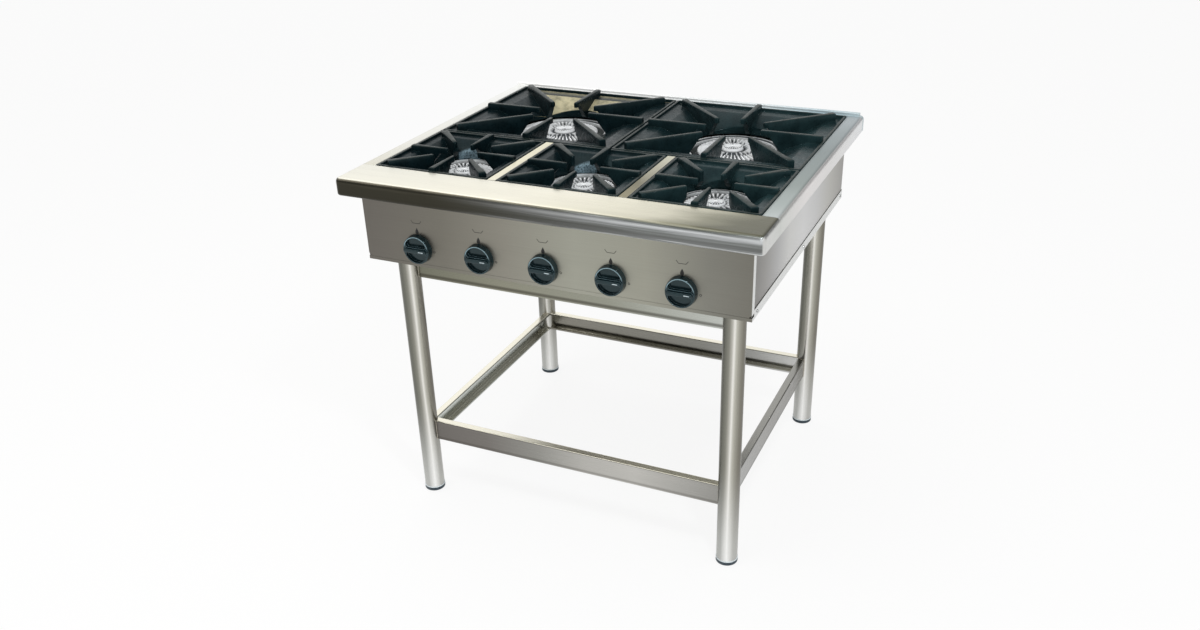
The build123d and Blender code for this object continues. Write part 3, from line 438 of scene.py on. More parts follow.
def brushed(recipe, tone, grain, roughness, contrast=0.08, edge=0.8 * MM, turned=True, metallic=1.0):
    """Brushed stainless sheet: fine scratches along one axis over a tone that drifts slowly."""
    fine = recipe.noise(3.0, GRAIN[grain], detail=3.0, roughness=0.7)
    broad = recipe.noise(7.0, tuple(0.25 + 0.01 * s for s in GRAIN[grain]), detail=3.0)
    streak = recipe.math("ADD", recipe.math("MULTIPLY", fine, 0.6), recipe.math("MULTIPLY", broad, 0.4))
    light = recipe.span(streak, 0.3, 0.7, 1.0 - contrast, 1.0 + contrast)
    gray = recipe.node("ShaderNodeCombineColor")
    for channel in gray.inputs:
        recipe.join(light, channel)
    recipe.set("Base Color", recipe.mix(1.0, tone, gray.outputs[0], "MULTIPLY"))
    recipe.set("Roughness", recipe.span(streak, 0.3, 0.7, roughness - 0.07, roughness + 0.07))
    recipe.set("Metallic", metallic)
    if turned:
        recipe.set("Anisotropic", 0.55)
        tangent = recipe.node("ShaderNodeCombineXYZ")
        for channel, value in zip(tangent.inputs, ALONG[grain]):
            channel.default_value = value
        recipe.set("Tangent", tangent.outputs[0])
    recipe.bump(fine, 0.10, 0.05 * MM, recipe.rounded(edge))


def give(nodes, recipe):
    """Puts one finish on CAD nodes or pieces."""
    for node in nodes:
        made = frame["nodes"][node] if isinstance(node, str) else node
        made.data.materials.clear()
        made.data.materials.append(recipe.material)


def piece(name, mesh, recipe, body):
    """A new piece of the object, already in place, that rides on a body."""
    made = bpy.data.objects.new(name, mesh)
    bpy.context.scene.collection.objects.link(made)
    give([made], recipe)
    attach(made, body)
    return made


def bridge(bm, rows):
    """Faces between each loop of points and the next."""
    count = len(rows[0])
    for first, second in zip(rows, rows[1:]):
        for i in range(count):
            after = (i + 1) % count
            bm.faces.new((first[i], first[after], second[after], second[i]))


def capped(bm, rows):
    """A closed skin along loops of points, with a face at both ends."""
    bridge(bm, rows)
    bm.faces.new(rows[0][::-1])
    bm.faces.new(rows[-1])


def mesh_from(name, bm, smooth=False):
    """A mesh out of its draft, with all faces looking outwards."""
    bmesh.ops.recalc_face_normals(bm, faces=bm.faces)
    for face in bm.faces:
        face.smooth = smooth
    mesh = bpy.data.meshes.new(name)
    bm.to_mesh(mesh)
    bm.free()
    return mesh


# Worktop

# Painted reflections along a strip or down the folded nose: place from 0 to 1, then the tone there
FRONT_STRIP = ((0.0, shade(240, 238, 226)), (0.50, shade(247, 243, 226)), (0.66, shade(236, 232, 212)),
               (0.78, shade(216, 212, 192)), (0.87, shade(152, 150, 130)), (0.94, shade(112, 111, 94)),
               (1.0, shade(108, 107, 91)))
RIGHT_STRIP = ((0.0, shade(180, 188, 188)), (0.10, shade(196, 202, 202)), (0.20, shade(174, 182, 180)),
               (0.36, shade(145, 155, 152)), (0.6, shade(139, 149, 149)), (0.8, shade(154, 164, 166)),
               (1.0, shade(190, 197, 201)))
LEFT_STRIP = ((0.0, shade(224, 220, 202)), (0.3, shade(234, 233, 224)), (0.6, shade(235, 235, 229)),
              (1.0, shade(246, 247, 244)))
REAR_STRIP = ((0.0, shade(255, 255, 253)), (0.45, shade(250, 251, 250)), (0.75, shade(222, 230, 232)),
              (0.90, shade(190, 208, 214)), (1.0, shade(196, 210, 214)))
SIDE_NOSE = ((0.0, shade(214, 214, 212)), (0.12, shade(208, 210, 206)), (0.35, shade(230, 226, 225)),
             (0.6, shade(228, 226, 225)), (1.0, shade(236, 238, 240)))
NOSE_LEFT = ((0.0, shade(58, 56, 48)), (0.70, shade(62, 60, 51)), (0.90, shade(78, 75, 65)),
             (1.0, shade(112, 108, 96)))
NOSE_RIGHT = ((0.0, shade(240, 242, 242)), (0.07, shade(186, 188, 188)), (0.14, shade(126, 128, 128)),
              (0.34, shade(108, 110, 108)), (0.52, shade(140, 143, 142)), (0.66, shade(188, 190, 192)),
              (0.78, shade(218, 221, 222)), (0.88, shade(144, 148, 146)), (0.94, shade(92, 95, 88)),
              (1.0, shade(124, 124, 111)))


def strip_finish(name, tone_of, grain, look, edge=0.8 * MM, metallic=1.0):
    """Brushed sheet in the tone that a function gives."""
    recipe = Recipe(name)
    brushed(recipe, tone_of(recipe), grain, look.roughness, edge=edge, metallic=metallic)
    return recipe


def painted_nose_reflection(recipe):
    """The folded front edge in painted reflections: dark on the left, with a painted highlight line down its
    length on the right.
    """
    low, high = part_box("worktop_front")
    ripple = recipe.span(recipe.noise(9.0, (0.5, 1.0, 26.0), detail=3.0), 0.3, 0.7, -0.11, 0.11)
    level = recipe.math("ADD", recipe.along("Z", low.z, high.z), ripple, clamp=True)
    drift = recipe.ease(recipe.axis("X"), low.x * 0.55, high.x * 0.75)
    return recipe.mix(drift, recipe.ramp(level, NOSE_LEFT), recipe.ramp(level, NOSE_RIGHT))


def strip_tone(recipe, top, front=None):
    """A strip's painted reflection above, and the nose's painted reflections on the faces that look outwards.
    """
    side = recipe.ramp(recipe.along("Y", OBJECT_LOW.y, OBJECT_HIGH.y), SIDE_NOSE)
    sideways = recipe.ease(recipe.math("ABSOLUTE", recipe.facing("X")), 0.45, 0.75)
    out = side if front is None else recipe.mix(sideways, front, side)
    return recipe.mix(recipe.ease(recipe.facing("Z"), 0.75, 0.95), out, top)


def front_strip_tone(recipe):
    """Painted reflection: cream on the left, olive on the right, with the border slanting towards the left at
    the front.
    """
    low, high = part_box("worktop_front")
    slant = recipe.span(recipe.axis("Y"), low.y, high.y, 0.07, -0.07)
    cloud = recipe.span(recipe.noise(4.0, (0.7, 2.6, 1.0)), 0.3, 0.7, -0.05, 0.05)
    place = recipe.math("ADD", recipe.along("X", low.x, high.x), recipe.math("ADD", slant, cloud))
    return strip_tone(recipe, recipe.ramp(place, FRONT_STRIP), painted_nose_reflection(recipe))


def long_strip_tone(stops):
    """A strip whose painted reflection drifts from the front of the stove to its rear."""
    def tone(recipe):
        cloud = recipe.span(recipe.noise(5.0, (1.0, 0.6, 1.0)), 0.3, 0.7, -0.06, 0.06)
        place = recipe.math("ADD", recipe.along("Y", OBJECT_LOW.y, OBJECT_HIGH.y), cloud, clamp=True)
        return strip_tone(recipe, recipe.ramp(place, stops))
    return tone


def rear_strip_tone(recipe):
    """Painted reflection: near white along the rear, on the bead's front as on its top, and bluer towards the
    right.
    """
    return recipe.ramp(recipe.along("X", OBJECT_LOW.x, OBJECT_HIGH.x), REAR_STRIP)


class STOVE_OT_worktop(bpy.types.Operator):
    """Brush the four strips of the worktop along their length, with their reflections painted in"""
    bl_idname = "stove.worktop"
    bl_label = "Worktop"

    def execute(self, context):
        look = context.scene.stove_worktop
        nose = look.nose_rounding
        strips = {
            "front": strip_finish("front_strip_brushed", front_strip_tone, "x", look, nose),
            "rear": strip_finish("rear_strip_brushed", rear_strip_tone, "x", look, metallic=0.3),
            "left": strip_finish("left_strip_brushed", long_strip_tone(LEFT_STRIP), "y", look, nose),
            "right": strip_finish("right_strip_brushed", long_strip_tone(RIGHT_STRIP), "y", look, nose, 0.7),
        }
        for side, recipe in strips.items():
            give([f"worktop_{side}"], recipe)
        return {"FINISHED"}


# Body under the worktop

# Painted reflections along the control panel and a side panel: place from 0 to 1, then the tone there
CONTROL_PANEL = ((0.0, shade(115, 111, 105)), (0.22, shade(126, 123, 114)), (0.39, shade(148, 145, 135)),
                 (0.575, shade(167, 167, 155)), (0.75, shade(162, 161, 149)), (0.90, shade(135, 134, 126)),
                 (1.0, shade(124, 122, 114)))
SIDE_PANEL = ((0.0, shade(123, 122, 119)), (0.11, shade(151, 149, 146)), (0.23, shade(180, 180, 180)),
              (0.35, shade(209, 209, 207)), (0.5, shade(216, 216, 216)), (0.65, shade(203, 203, 203)),
              (0.82, shade(186, 185, 180)), (1.0, shade(158, 156, 152)))


def panel_tone(recipe):
    """The control panel's painted reflection drifting from end to end, and a painted highlight on the folded
    edges at the sides.
    """
    low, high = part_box("control_panel")
    whole = recipe.ramp(recipe.along("X", low.x, high.x), CONTROL_PANEL)
    sideways = recipe.math("ABSOLUTE", recipe.facing("X"))
    edge = bpy.context.scene.stove_body.edge[:]
    return recipe.mix(recipe.ease(sideways, 0.5, 0.9), whole, edge)


def side_tone(recipe):
    """A side panel's painted reflection drifting from front to rear."""
    low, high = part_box("side_panel_right")
    return recipe.ramp(recipe.along("Y", low.y, high.y), SIDE_PANEL)


class STOVE_OT_body(bpy.types.Operator):
    """Give the panels their satin finish with painted reflections, and the folded edges a painted highlight
    """
    bl_idname = "stove.body"
    bl_label = "Body"

    def execute(self, context):
        look = context.scene.stove_body
        give(["control_panel", "base_pan"], strip_finish("front_satin", panel_tone, "x", look))
        give(["side_panel_left", "side_panel_right"], strip_finish("side_panel_satin", side_tone, "y", look))
        give(["back_panel"], strip_finish("back_panel_satin", lambda r: shade(160, 157, 152), "x", look))
        return {"FINISHED"}


# Stand

# Painted reflections round a leg, as a share of a half turn, and nearer the floor
LEG_ROUND = ((0.0, shade(112, 110, 102)), (0.12, shade(92, 92, 84)), (0.24, shade(112, 112, 104)),
             (0.36, shade(138, 137, 128)), (0.44, shade(184, 182, 174)), (0.50, shade(236, 234, 228)),
             (0.56, shade(190, 188, 178)), (0.63, shade(162, 160, 150)), (0.74, shade(134, 131, 121)),
             (0.88, shade(108, 104, 94)), (1.0, shade(112, 110, 102)))
LEG_FOOT = ((0.0, shade(182, 182, 178)), (0.30, shade(188, 189, 186)), (0.50, shade(254, 254, 252)),
            (0.70, shade(192, 192, 188)), (1.0, shade(182, 182, 178)))
# Painted reflections and shade along each rail's web, from one end to the other
LOWER_FRONT_RAIL = ((0.0, shade(114, 110, 106)), (0.2, shade(124, 120, 116)), (0.38, shade(150, 149, 144)),
                    (0.55, shade(186, 184, 179)), (0.72, shade(196, 194, 189)), (1.0, shade(152, 151, 147)))
UPPER_FRONT_RAIL = ((0.0, shade(118, 118, 104)), (0.3, shade(142, 141, 126)), (0.65, shade(152, 153, 141)),
                    (1.0, shade(190, 193, 188)))
REAR_RAIL = ((0.0, shade(142, 139, 130)), (0.6, shade(146, 145, 139)), (0.82, shade(168, 168, 165)),
             (1.0, shade(214, 214, 212)))
LEFT_RAIL = ((0.0, shade(226, 230, 224)), (0.5, shade(206, 210, 206)), (1.0, shade(176, 178, 172)))
RIGHT_RAIL = ((0.0, shade(176, 176, 174)), (0.5, shade(150, 148, 144)), (1.0, shade(126, 125, 120)))


# How strongly the painted shade lines along its folds show on a rail that differs from the others
FOLD_SHADE_LINES = {"upper_rail_front": 0.65, "lower_rail_rear": 0.1}


def rail_tone(rail, stops):
    """A folded rail: its web's painted reflection drifts from end to end, painted shade lines run above and
    below, and its top is painted lit.
    """
    def tone(recipe):
        low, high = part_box(rail)
        look = bpy.context.scene.stove_stand
        across = high.x - low.x > high.y - low.y
        ends = (low.x, high.x) if across else (low.y, high.y)
        web = recipe.ramp(recipe.along("X" if across else "Y", *ends), stops)
        level = recipe.along("Z", low.z, high.z)
        lower_fold_shade = recipe.product(recipe.ease(level, 0.04, 0.10), recipe.ease(level, 0.22, 0.14))
        upper_fold_shade = recipe.ease(level, 0.93, 0.985)
        lines = recipe.math("MAXIMUM", lower_fold_shade, upper_fold_shade)
        web = recipe.mix(recipe.product(lines, FOLD_SHADE_LINES.get(rail, 0.35)), web, look.fold_shade[:])
        top = look.rail_top_shaded[:] if rail == "lower_rail_right" else look.rail_top_lit[:]
        return recipe.mix(recipe.ease(recipe.facing("Z"), 0.5, 0.9), web, top)
    return tone


class STOVE_OT_stand(bpy.types.Operator):
    """Polish the tube legs, brush the rails and cap the feet"""
    bl_idname = "stove.stand"
    bl_label = "Stand"

    def execute(self, context):
        look = context.scene.stove_stand
        for leg in LEGS:
            recipe = Recipe(f"{leg}_satin")
            tone = self.tube_tone(recipe, leg, look)
            brushed(recipe, tone, "z", look.roughness, contrast=0.05, turned=False)
            give([leg], recipe)
        stops = {"lower_rail_front": LOWER_FRONT_RAIL, "upper_rail_front": UPPER_FRONT_RAIL,
                 "lower_rail_rear": REAR_RAIL, "upper_rail_rear": REAR_RAIL}
        for rail in (n for n in frame["nodes"] if "_rail_" in n):
            grain = "x" if rail in stops else "y"
            side_rail = RIGHT_RAIL if rail.endswith("right") else LEFT_RAIL
            tone = rail_tone(rail, stops.get(rail, side_rail))
            give([rail], strip_finish(f"{rail}_brushed", tone, grain, look))
        give([n for n in frame["nodes"] if n.startswith("foot_")], self.foot(look))
        return {"FINISHED"}

    def tube_tone(self, recipe, leg, look):
        """Painted reflections up the tube: a painted highlight stripe on the side that faces the room, and
        paler towards the floor, where the floor's painted reflection shows.
        """
        low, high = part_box(leg)
        centre = (low + high) / 2
        ahead = math.atan2(look.glint[1] - centre.y, look.glint[0] - centre.x)
        wander = recipe.span(recipe.noise(3.0, (1.0, 1.0, 0.8), detail=1.0), 0.3, 0.7, -0.015, 0.015)
        turn = recipe.math("ADD", recipe.round_axis(centre, ahead), wander)
        near_floor = recipe.ease(recipe.axis("Z"), look.pale_height, low.z)
        return recipe.mix(near_floor, recipe.ramp(turn, LEG_ROUND), recipe.ramp(turn, LEG_FOOT))

    def foot(self, look):
        """A scuffed dark cap with a pale ring above it."""
        recipe = Recipe("foot_cap")
        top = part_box("leg_front_left")[0].z
        ring = recipe.math("GREATER_THAN", recipe.axis("Z"), top - look.ring_height)
        scuffs = recipe.uneven(160.0, 0.0, 0.5, (0.45, 0.75))
        scuffed = recipe.mix(scuffs, look.foot[:], shade(84, 100, 110))
        recipe.set("Base Color", recipe.mix(ring, scuffed, look.ring[:]))
        recipe.set("Roughness", recipe.uneven(90.0, 0.32, 0.55))
        recipe.bump(recipe.noise(400.0), 0.2, 0.1 * MM, recipe.rounded(1.0 * MM))
        return recipe


# Strips and rails between the grates

# Painted reflections along the strips between the grates: place from 0 to 1, then the tone there
DIVIDER_LEFT = ((0.0, shade(240, 236, 216)), (0.3, shade(236, 230, 204)), (1.0, shade(228, 224, 200)))
DIVIDER_RIGHT = ((0.0, shade(226, 221, 198)), (0.1, shade(150, 142, 112)), (0.2, shade(124, 119, 96)),
                 (0.4, shade(206, 204, 184)))


class STOVE_OT_dividers(bpy.types.Operator):
    """Brush the strips between the front grates and the rails under them"""
    bl_idname = "stove.dividers"
    bl_label = "Dividers"

    def execute(self, context):
        look = context.scene.stove_worktop
        for node, stops in (("divider_left", DIVIDER_LEFT), ("divider_right", DIVIDER_RIGHT),
                            ("rear_divider", DIVIDER_LEFT)):
            give([node], strip_finish(f"{node}_brushed", long_strip_tone(stops), "y", look))
        give(["cross_rail", "burner_bars"],
             strip_finish("support_brushed", lambda r: shade(150, 150, 146), "x", look))
        return {"FINISHED"}


# Grates

class GrateForm(NamedTuple):
    """What differs between a large and a small grate, in millimetres."""
    flat: float          # ledge between the rim and the dish
    dish_drop: float     # fall of the dish from the ledge to the hole, at mid-side
    hole: float          # radius of the round hole
    finger_rise: float   # fingers over the worktop
    side_tip: float      # inner end of a finger towards the middle of a side
    corner_tip: float    # inner end of a finger towards a corner
    tip_depth: float     # depth of a finger at its inner end
    throat: float        # where a finger's underside starts to fall
    heel: float          # where it meets the foot at the collar
    heel_rise: float     # height of that foot over the collar's lower edge
    core_width: float    # a finger's width if it went on to the middle
    root_width: float    # and if it went on to the corner
    corner_setback: float  # from a corner of the grate to the end of its finger


LARGE_GRATE = GrateForm(flat=36, dish_drop=20, hole=135, finger_rise=12, side_tip=70, corner_tip=84,
                        tip_depth=13, throat=92, heel=125, heel_rise=4, core_width=8, root_width=17,
                        corner_setback=36)
SMALL_GRATE = GrateForm(flat=20, dish_drop=16, hole=95, finger_rise=7.5, side_tip=41, corner_tip=70,
                        tip_depth=13.5, throat=60, heel=90, heel_rise=8, core_width=5, root_width=20,
                        corner_setback=28)
# How many steps a loop takes along a side and round a corner
SIDE_STEPS = 20
CORNER_STEPS = 3
# How many sections a finger has between the collar and its end
ROOT_STEPS = 6
# The share by which a finger's tip is narrower, and how deep a rounded edge's middle lies in it
TIP_TAPER = 0.45
ROUND_MIDDLE = 0.293
# The painted pale reflection on a front grate: which way it lies from the middle, how far it spreads to the
# sides as a share of a half turn, and how far beyond the hole it goes, each first at its edge and then at
# full strength
PALE_REFLECTION_TOWARDS = math.radians(112.5)
PALE_REFLECTION_SPREAD = (0.094, 0.078)
PALE_REFLECTION_REACH = (12.0 * MM, 4.0 * MM)


def frame_loop(half_x, half_y, radius, places):
    """A rectangle with rounded corners as a loop of points, read round from its lower right corner."""
    loop = []
    for turn in range(4):
        long, wide = (half_x, half_y) if turn % 2 == 0 else (half_y, half_x)
        for place in places:
            x, y = long, wide * place
            over_x, over_y = x - (long - radius), abs(y) - (wide - radius)
            if over_y > 0:
                reach = radius / math.hypot(over_x, over_y)
                x, y = long - radius + over_x * reach, math.copysign(wide - radius + over_y * reach, y)
            for _ in range(turn):
                x, y = -y, x
            loop.append((x, y))
    return loop


def hole_loop(radius, places):
    """A circle as a loop of points that lie opposite those of the rectangle round it."""
    angles = [turn * math.pi / 2 + math.atan(place) for turn in range(4) for place in places]
    return [(radius * math.cos(angle), radius * math.sin(angle)) for angle in angles]


def loop_places(half, radius):
    """Where the points of a side lie, from -1 to 1: even round the hole, and closer at the corners."""
    straight = math.atan((half - radius) / half)
    inner = [math.tan(straight * (2 * i / SIDE_STEPS - 1)) for i in range(SIDE_STEPS + 1)]
    corner = [(half - radius + radius * math.tan(math.pi / 4 * i / CORNER_STEPS)) / half
              for i in range(1, CORNER_STEPS + 1)]
    return [-place for place in reversed(corner)] + inner + corner[:-1]


class GrateCasting:
    """One grate about its own middle, with the heights of the stove."""

    def __init__(self, node, form, look):
        low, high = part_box(node)
        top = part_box("worktop_front")[1].z
        self.form = GrateForm(*(value * MM for value in form))
        self.look = look
        self.half = ((high.x - low.x) / 2, (high.y - low.y) / 2)
        self.floor = low.z
        self.ledge = top - look.ledge_drop
        self.rim_top = top + look.rim_rise
        self.finger_top = top + self.form.finger_rise
        self.dish = tuple(half - look.rim_width - self.form.flat for half in self.half)
        self.slope = self.form.dish_drop / (sum(self.dish) / 2 - self.form.hole)

    def dish_level(self, x, y):
        """Height of the dish at a point, level with the ledge outside it."""
        depth = min(self.dish[0] - abs(x), self.dish[1] - abs(y))
        return self.ledge - self.slope * max(depth, 0.0)

    def shell(self):
        """Rim, ledge, dish and collar as one closed skin, made of loops from the seat up, in and back."""
        look, form = self.look, self.form
        edge, rim, bend = look.soft_edge, look.rim_width, 2 * look.soft_edge
        places = loop_places(self.half[1], look.corner)
        inner, outer = form.hole, form.hole + look.collar_wall
        lip = 0.3 * edge

        def level(inset, z, radius=look.corner):
            half_x, half_y = (half - inset for half in self.half)
            return [(x, y, z) for x, y in frame_loop(half_x, half_y, radius, places)]

        def ring(radius, height):
            return [(x, y, height(x, y)) for x, y in hole_loop(radius, places)]

        dish = self.dish_level
        flat_end = rim + form.flat
        tight = 0.4 * look.corner
        loops = [
            level(0.0, self.ledge - look.plate),
            level(0.0, self.rim_top - edge),
            level(lip, self.rim_top - lip),
            level(edge, self.rim_top),
            level(rim - edge, self.rim_top, tight),
            level(rim - lip, self.rim_top - lip, tight),
            level(rim, self.rim_top - edge, tight),
            level(rim, self.ledge + bend, tight),
            level(rim + 0.3 * bend, self.ledge + 0.3 * bend, tight),
            level(rim + bend, self.ledge, tight),
            level(flat_end - edge, self.ledge, tight),
            level(flat_end + edge, self.ledge - self.slope * edge, tight),
            ring(inner + bend, dish),
            ring(inner + edge, lambda x, y: dish(x, y) - 0.2 * edge),
            ring(inner + lip, lambda x, y: dish(x, y) - 0.8 * edge),
            ring(inner, lambda x, y: dish(x, y) - 1.6 * edge),
            ring(inner, lambda x, y: self.floor + lip),
            ring(inner + lip, lambda x, y: self.floor),
            ring(outer - lip, lambda x, y: self.floor),
            ring(outer, lambda x, y: self.floor + lip),
            ring(outer, lambda x, y: max(dish(x, y) - look.plate, self.floor + edge)),
            level(flat_end, self.ledge - look.plate, tight),
        ]
        bm = bmesh.new()
        rows = [[bm.verts.new(point) for point in loop] for loop in loops]
        bridge(bm, rows + rows[:1])
        return bm

    def underside(self, reach, turn):
        """Lower edge of a finger: its web over the burner, and inside the plate further out."""
        form = self.form
        heel = self.floor + form.heel_rise
        if reach < form.throat:
            return self.finger_top - form.tip_depth
        if reach < form.heel:
            part = (reach - form.throat) / (form.heel - form.throat)
            return (self.finger_top - form.tip_depth) * (1 - part) + heel * part
        if reach < form.hole + self.look.collar_wall / 2:
            return heel
        inside = self.dish_level(reach * math.cos(turn), reach * math.sin(turn)) - 0.7 * self.look.plate
        return max(inside, self.floor + self.look.soft_edge)

    def finger(self, bm, turn, tip, end):
        """One finger as a row of upright sections along its own direction."""
        form, look = self.form, self.look
        middle_of_wall = form.hole + look.collar_wall / 2
        hair = 0.01 * MM
        root = end - look.heel - middle_of_wall
        stations = [tip, tip + 0.3 * look.nose, tip + look.nose, form.throat, form.heel,
                    middle_of_wall - hair, middle_of_wall]
        stations += [middle_of_wall + root * i / ROOT_STEPS for i in range(1, ROOT_STEPS + 1)]
        stations += [end - 0.3 * look.heel, end]
        stations = sorted(s for s in stations if tip <= s <= end)
        along = Vector((math.cos(turn), math.sin(turn), 0.0))
        across = Vector((-along.y, along.x, 0.0))
        corner_reach = math.hypot(*self.half)
        rows = []
        for reach in stations:
            half = (form.core_width + (form.root_width - form.core_width) * reach / corner_reach) / 2
            top = self.finger_top
            low = self.underside(reach, turn)
            near_tip = max(1 - (reach - tip) / look.nose, 0.0)
            near_end = max(1 - (end - reach) / look.heel, 0.0)
            half -= near_tip ** 2 * TIP_TAPER * half
            top -= near_tip ** 2 * look.nose_drop + near_end ** 2 * look.heel_drop
            edge = min(look.crest_edge, 0.9 * half)
            lip = ROUND_MIDDLE * edge
            section = [(-half, low), (half, low), (half, top - edge), (half - lip, top - lip),
                       (half - edge, top), (edge - half, top), (lip - half, top - lip), (-half, top - edge)]
            rows.append([bm.verts.new(along * reach + across * y + Vector((0, 0, z))) for y, z in section])
        capped(bm, rows)

    def fingers(self):
        """Four fingers from the sides and four from the corners."""
        form = self.form
        bite = 0.3 * MM
        corner_end = math.hypot(*self.half) - form.corner_setback
        bm = bmesh.new()
        for quarter in range(4):
            turn = quarter * math.pi / 2
            side_end = self.half[quarter % 2] - self.look.rim_width + bite
            self.finger(bm, turn, form.side_tip, side_end)
            self.finger(bm, turn + math.pi / 4, form.corner_tip, corner_end)
        return bm

    def mesh(self, name, place):
        """The whole casting as one closed skin, moved to its place."""
        made = fused(mesh_from("grate_shell", self.shell()), mesh_from("grate_fingers", self.fingers()))
        made.name = name
        made.transform(Matrix.Translation(place))
        for face in made.polygons:
            face.use_smooth = True
        made.set_sharp_from_angle(angle=math.radians(35))
        return made


def fused(body, extra):
    """One closed skin out of two that overlap."""
    blanks = [bpy.data.objects.new("blank", mesh) for mesh in (body, extra)]
    for blank in blanks:
        bpy.context.scene.collection.objects.link(blank)
    join = blanks[0].modifiers.new("join", "BOOLEAN")
    join.operation, join.solver, join.object = "UNION", "EXACT", blanks[1]
    graph = bpy.context.evaluated_depsgraph_get()
    mesh = bpy.data.meshes.new_from_object(blanks[0].evaluated_get(graph))
    for blank in blanks:
        bpy.data.objects.remove(blank)
    return mesh


class STOVE_OT_grates(bpy.types.Operator):
    """Cast the five grates and enamel them"""
    bl_idname = "stove.grates"
    bl_label = "Grates"

    def execute(self, context):
        look = context.scene.stove_grates
        for node in GRATES:
            rear = node.startswith("grate_rear")
            low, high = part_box(node)
            middle = Vector(((low.x + high.x) / 2, (low.y + high.y) / 2, 0.0))
            casting = GrateCasting(node, LARGE_GRATE if rear else SMALL_GRATE, look)
            made = piece(f"{node}_casting", casting.mesh(f"{node}_casting", middle),
                         self.enamel(node, look, casting, middle), node)
            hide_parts(node)
        return {"FINISHED"}

    def enamel(self, node, look, casting, middle):
        """Near-black enamel, dull in places, with painted reflections towards the right, on level tops and
        from stain(), and worn edges with painted highlights and glints.
        """
        recipe = Recipe(f"{node}_enamel")
        edges = recipe.worn(look.edge_width, 3.0)
        patchy = recipe.uneven(38.0, 0.0, 1.0, (0.4, 0.7))
        tone = recipe.mix(patchy, look.enamel[:], look.haze[:])
        # Painted sheen: the enamel is painted lighter towards the right of the stove
        right_sheen = recipe.product(recipe.span(recipe.axis("X"), -0.15, 0.40, 0.0, 0.62),
                                recipe.uneven(22.0, 0.35, 1.0, (0.35, 0.6)))
        tone = recipe.mix(right_sheen, tone, look.dull[:])
        specks = recipe.span(recipe.cells(520.0), 0.0, 0.14, 0.8, 0.0)
        specks = recipe.product(specks, recipe.uneven(14.0, 0.0, 1.0, (0.58, 0.70)))
        tone = recipe.mix(specks, tone, look.speck[:])
        # Painted reflections on the dishes, warm on the rear grates and pale on the front
        stain, reflection_colour = self.stain(recipe, node, look, casting, middle)
        tone = recipe.mix(stain, tone, reflection_colour)
        # Painted reflection on the level tops of rims and fingers
        level = recipe.ease(recipe.facing("Z"), 0.90, 0.99)
        high = recipe.math("GREATER_THAN", recipe.axis("Z"), casting.rim_top - 2.0 * MM)
        # Uneven strength for the painted reflection on tops and for the worn, highlighted edges
        rubbed = recipe.uneven(55.0, 0.55, 1.0)
        tone = recipe.mix(recipe.product(level, high, rubbed), tone, look.crest[:])
        # Worn edges, lighter also as a painted highlight
        tone = recipe.mix(recipe.product(edges, rubbed), tone, look.edge[:])
        # Bare chips along the edges, painted bright to stand in for glints
        chip_glints = recipe.product(edges, recipe.uneven(75.0, 0.0, 1.0, (0.66, 0.70), detail=1.0))
        recipe.set("Base Color", recipe.mix(chip_glints, tone, look.chip_glint[:]))
        recipe.set("Roughness", recipe.uneven(110.0, look.roughness - 0.08, look.roughness + 0.14))
        recipe.set("Specular IOR Level", 0.30)
        recipe.set("IOR", 1.32)
        recipe.set("Specular Tint", look.gleam[:])
        recipe.set("Coat Weight", 0.05)
        recipe.set("Coat Roughness", 0.06)
        pebble = recipe.math("ADD", recipe.noise(240.0, detail=4.0), recipe.noise(50.0, detail=2.0))
        recipe.bump(pebble, 0.14, 0.3 * MM, recipe.rounded(1.6 * MM))
        return recipe

    def stain(self, recipe, node, look, casting, middle):
        """Where a grate carries a painted reflection, and in what colour: a warm one behind, a pale speckled
        one in front.
        """
        if node.startswith("grate_rear"):
            # A painted warm reflection on the forward, upward slopes of the rear dishes, on the left
            forward = recipe.ease(recipe.product(recipe.facing("Y"), -1.0), 0.1, 0.3)
            upward = recipe.ease(recipe.facing("Z"), 0.6, 0.9)
            in_dish = recipe.math("LESS_THAN", recipe.axis("Z"), casting.ledge + 0.3 * MM)
            on_left = recipe.span(recipe.axis("X"), -0.1, 0.05, 0.80, 0.0)
            patchy = recipe.uneven(30.0, 0.42, 1.0, (0.36, 0.58), detail=9.0, roughness=0.7)
            return recipe.product(forward, upward, in_dish, on_left, patchy), look.warm_reflection[:]
        if node == "grate_front_right":
            return 0.0, look.pale_reflection[:]
        # A painted pale reflection, speckled, on the far side of the hole
        turn = recipe.round_axis(middle, PALE_REFLECTION_TOWARDS)
        beside = recipe.math("ABSOLUTE", recipe.math("SUBTRACT", turn, 0.5))
        spread = recipe.ease(beside, *PALE_REFLECTION_SPREAD)
        behind = recipe.math("GREATER_THAN", recipe.past("Y", middle), 0.0)
        band = recipe.ease(recipe.reach(middle), *(casting.form.hole + beyond for beyond in PALE_REFLECTION_REACH))
        speckle = recipe.uneven(330.0, 0.15, 1.0, (0.36, 0.62), detail=5.0)
        return recipe.product(spread, behind, band, speckle), look.pale_reflection[:]


# Burners

class BurnerForm(NamedTuple):
    """Sizes that a large and a small burner don't share, in metres."""
    hub: float      # radius of the middle of a crown
    rise: float     # height of a crown over its seat
    ribs: int       # as many as its inner fins
    bore: float     # radius of the ring's bore
    ring: float     # radius of the ring


LARGE_BURNER = BurnerForm(hub=24.0 * MM, rise=20.0 * MM, ribs=24, bore=105.0 * MM, ring=125.0 * MM)
SMALL_BURNER = BurnerForm(hub=20.0 * MM, rise=16.0 * MM, ribs=19, bore=79.0 * MM, ring=89.0 * MM)
# How far the floor of a crown's gaps falls on its way out, as a slope
GAP_FALL = 0.11


def burner_form(node):
    """The sizes of the burner that a node belongs to."""
    return LARGE_BURNER if "rear" in node else SMALL_BURNER


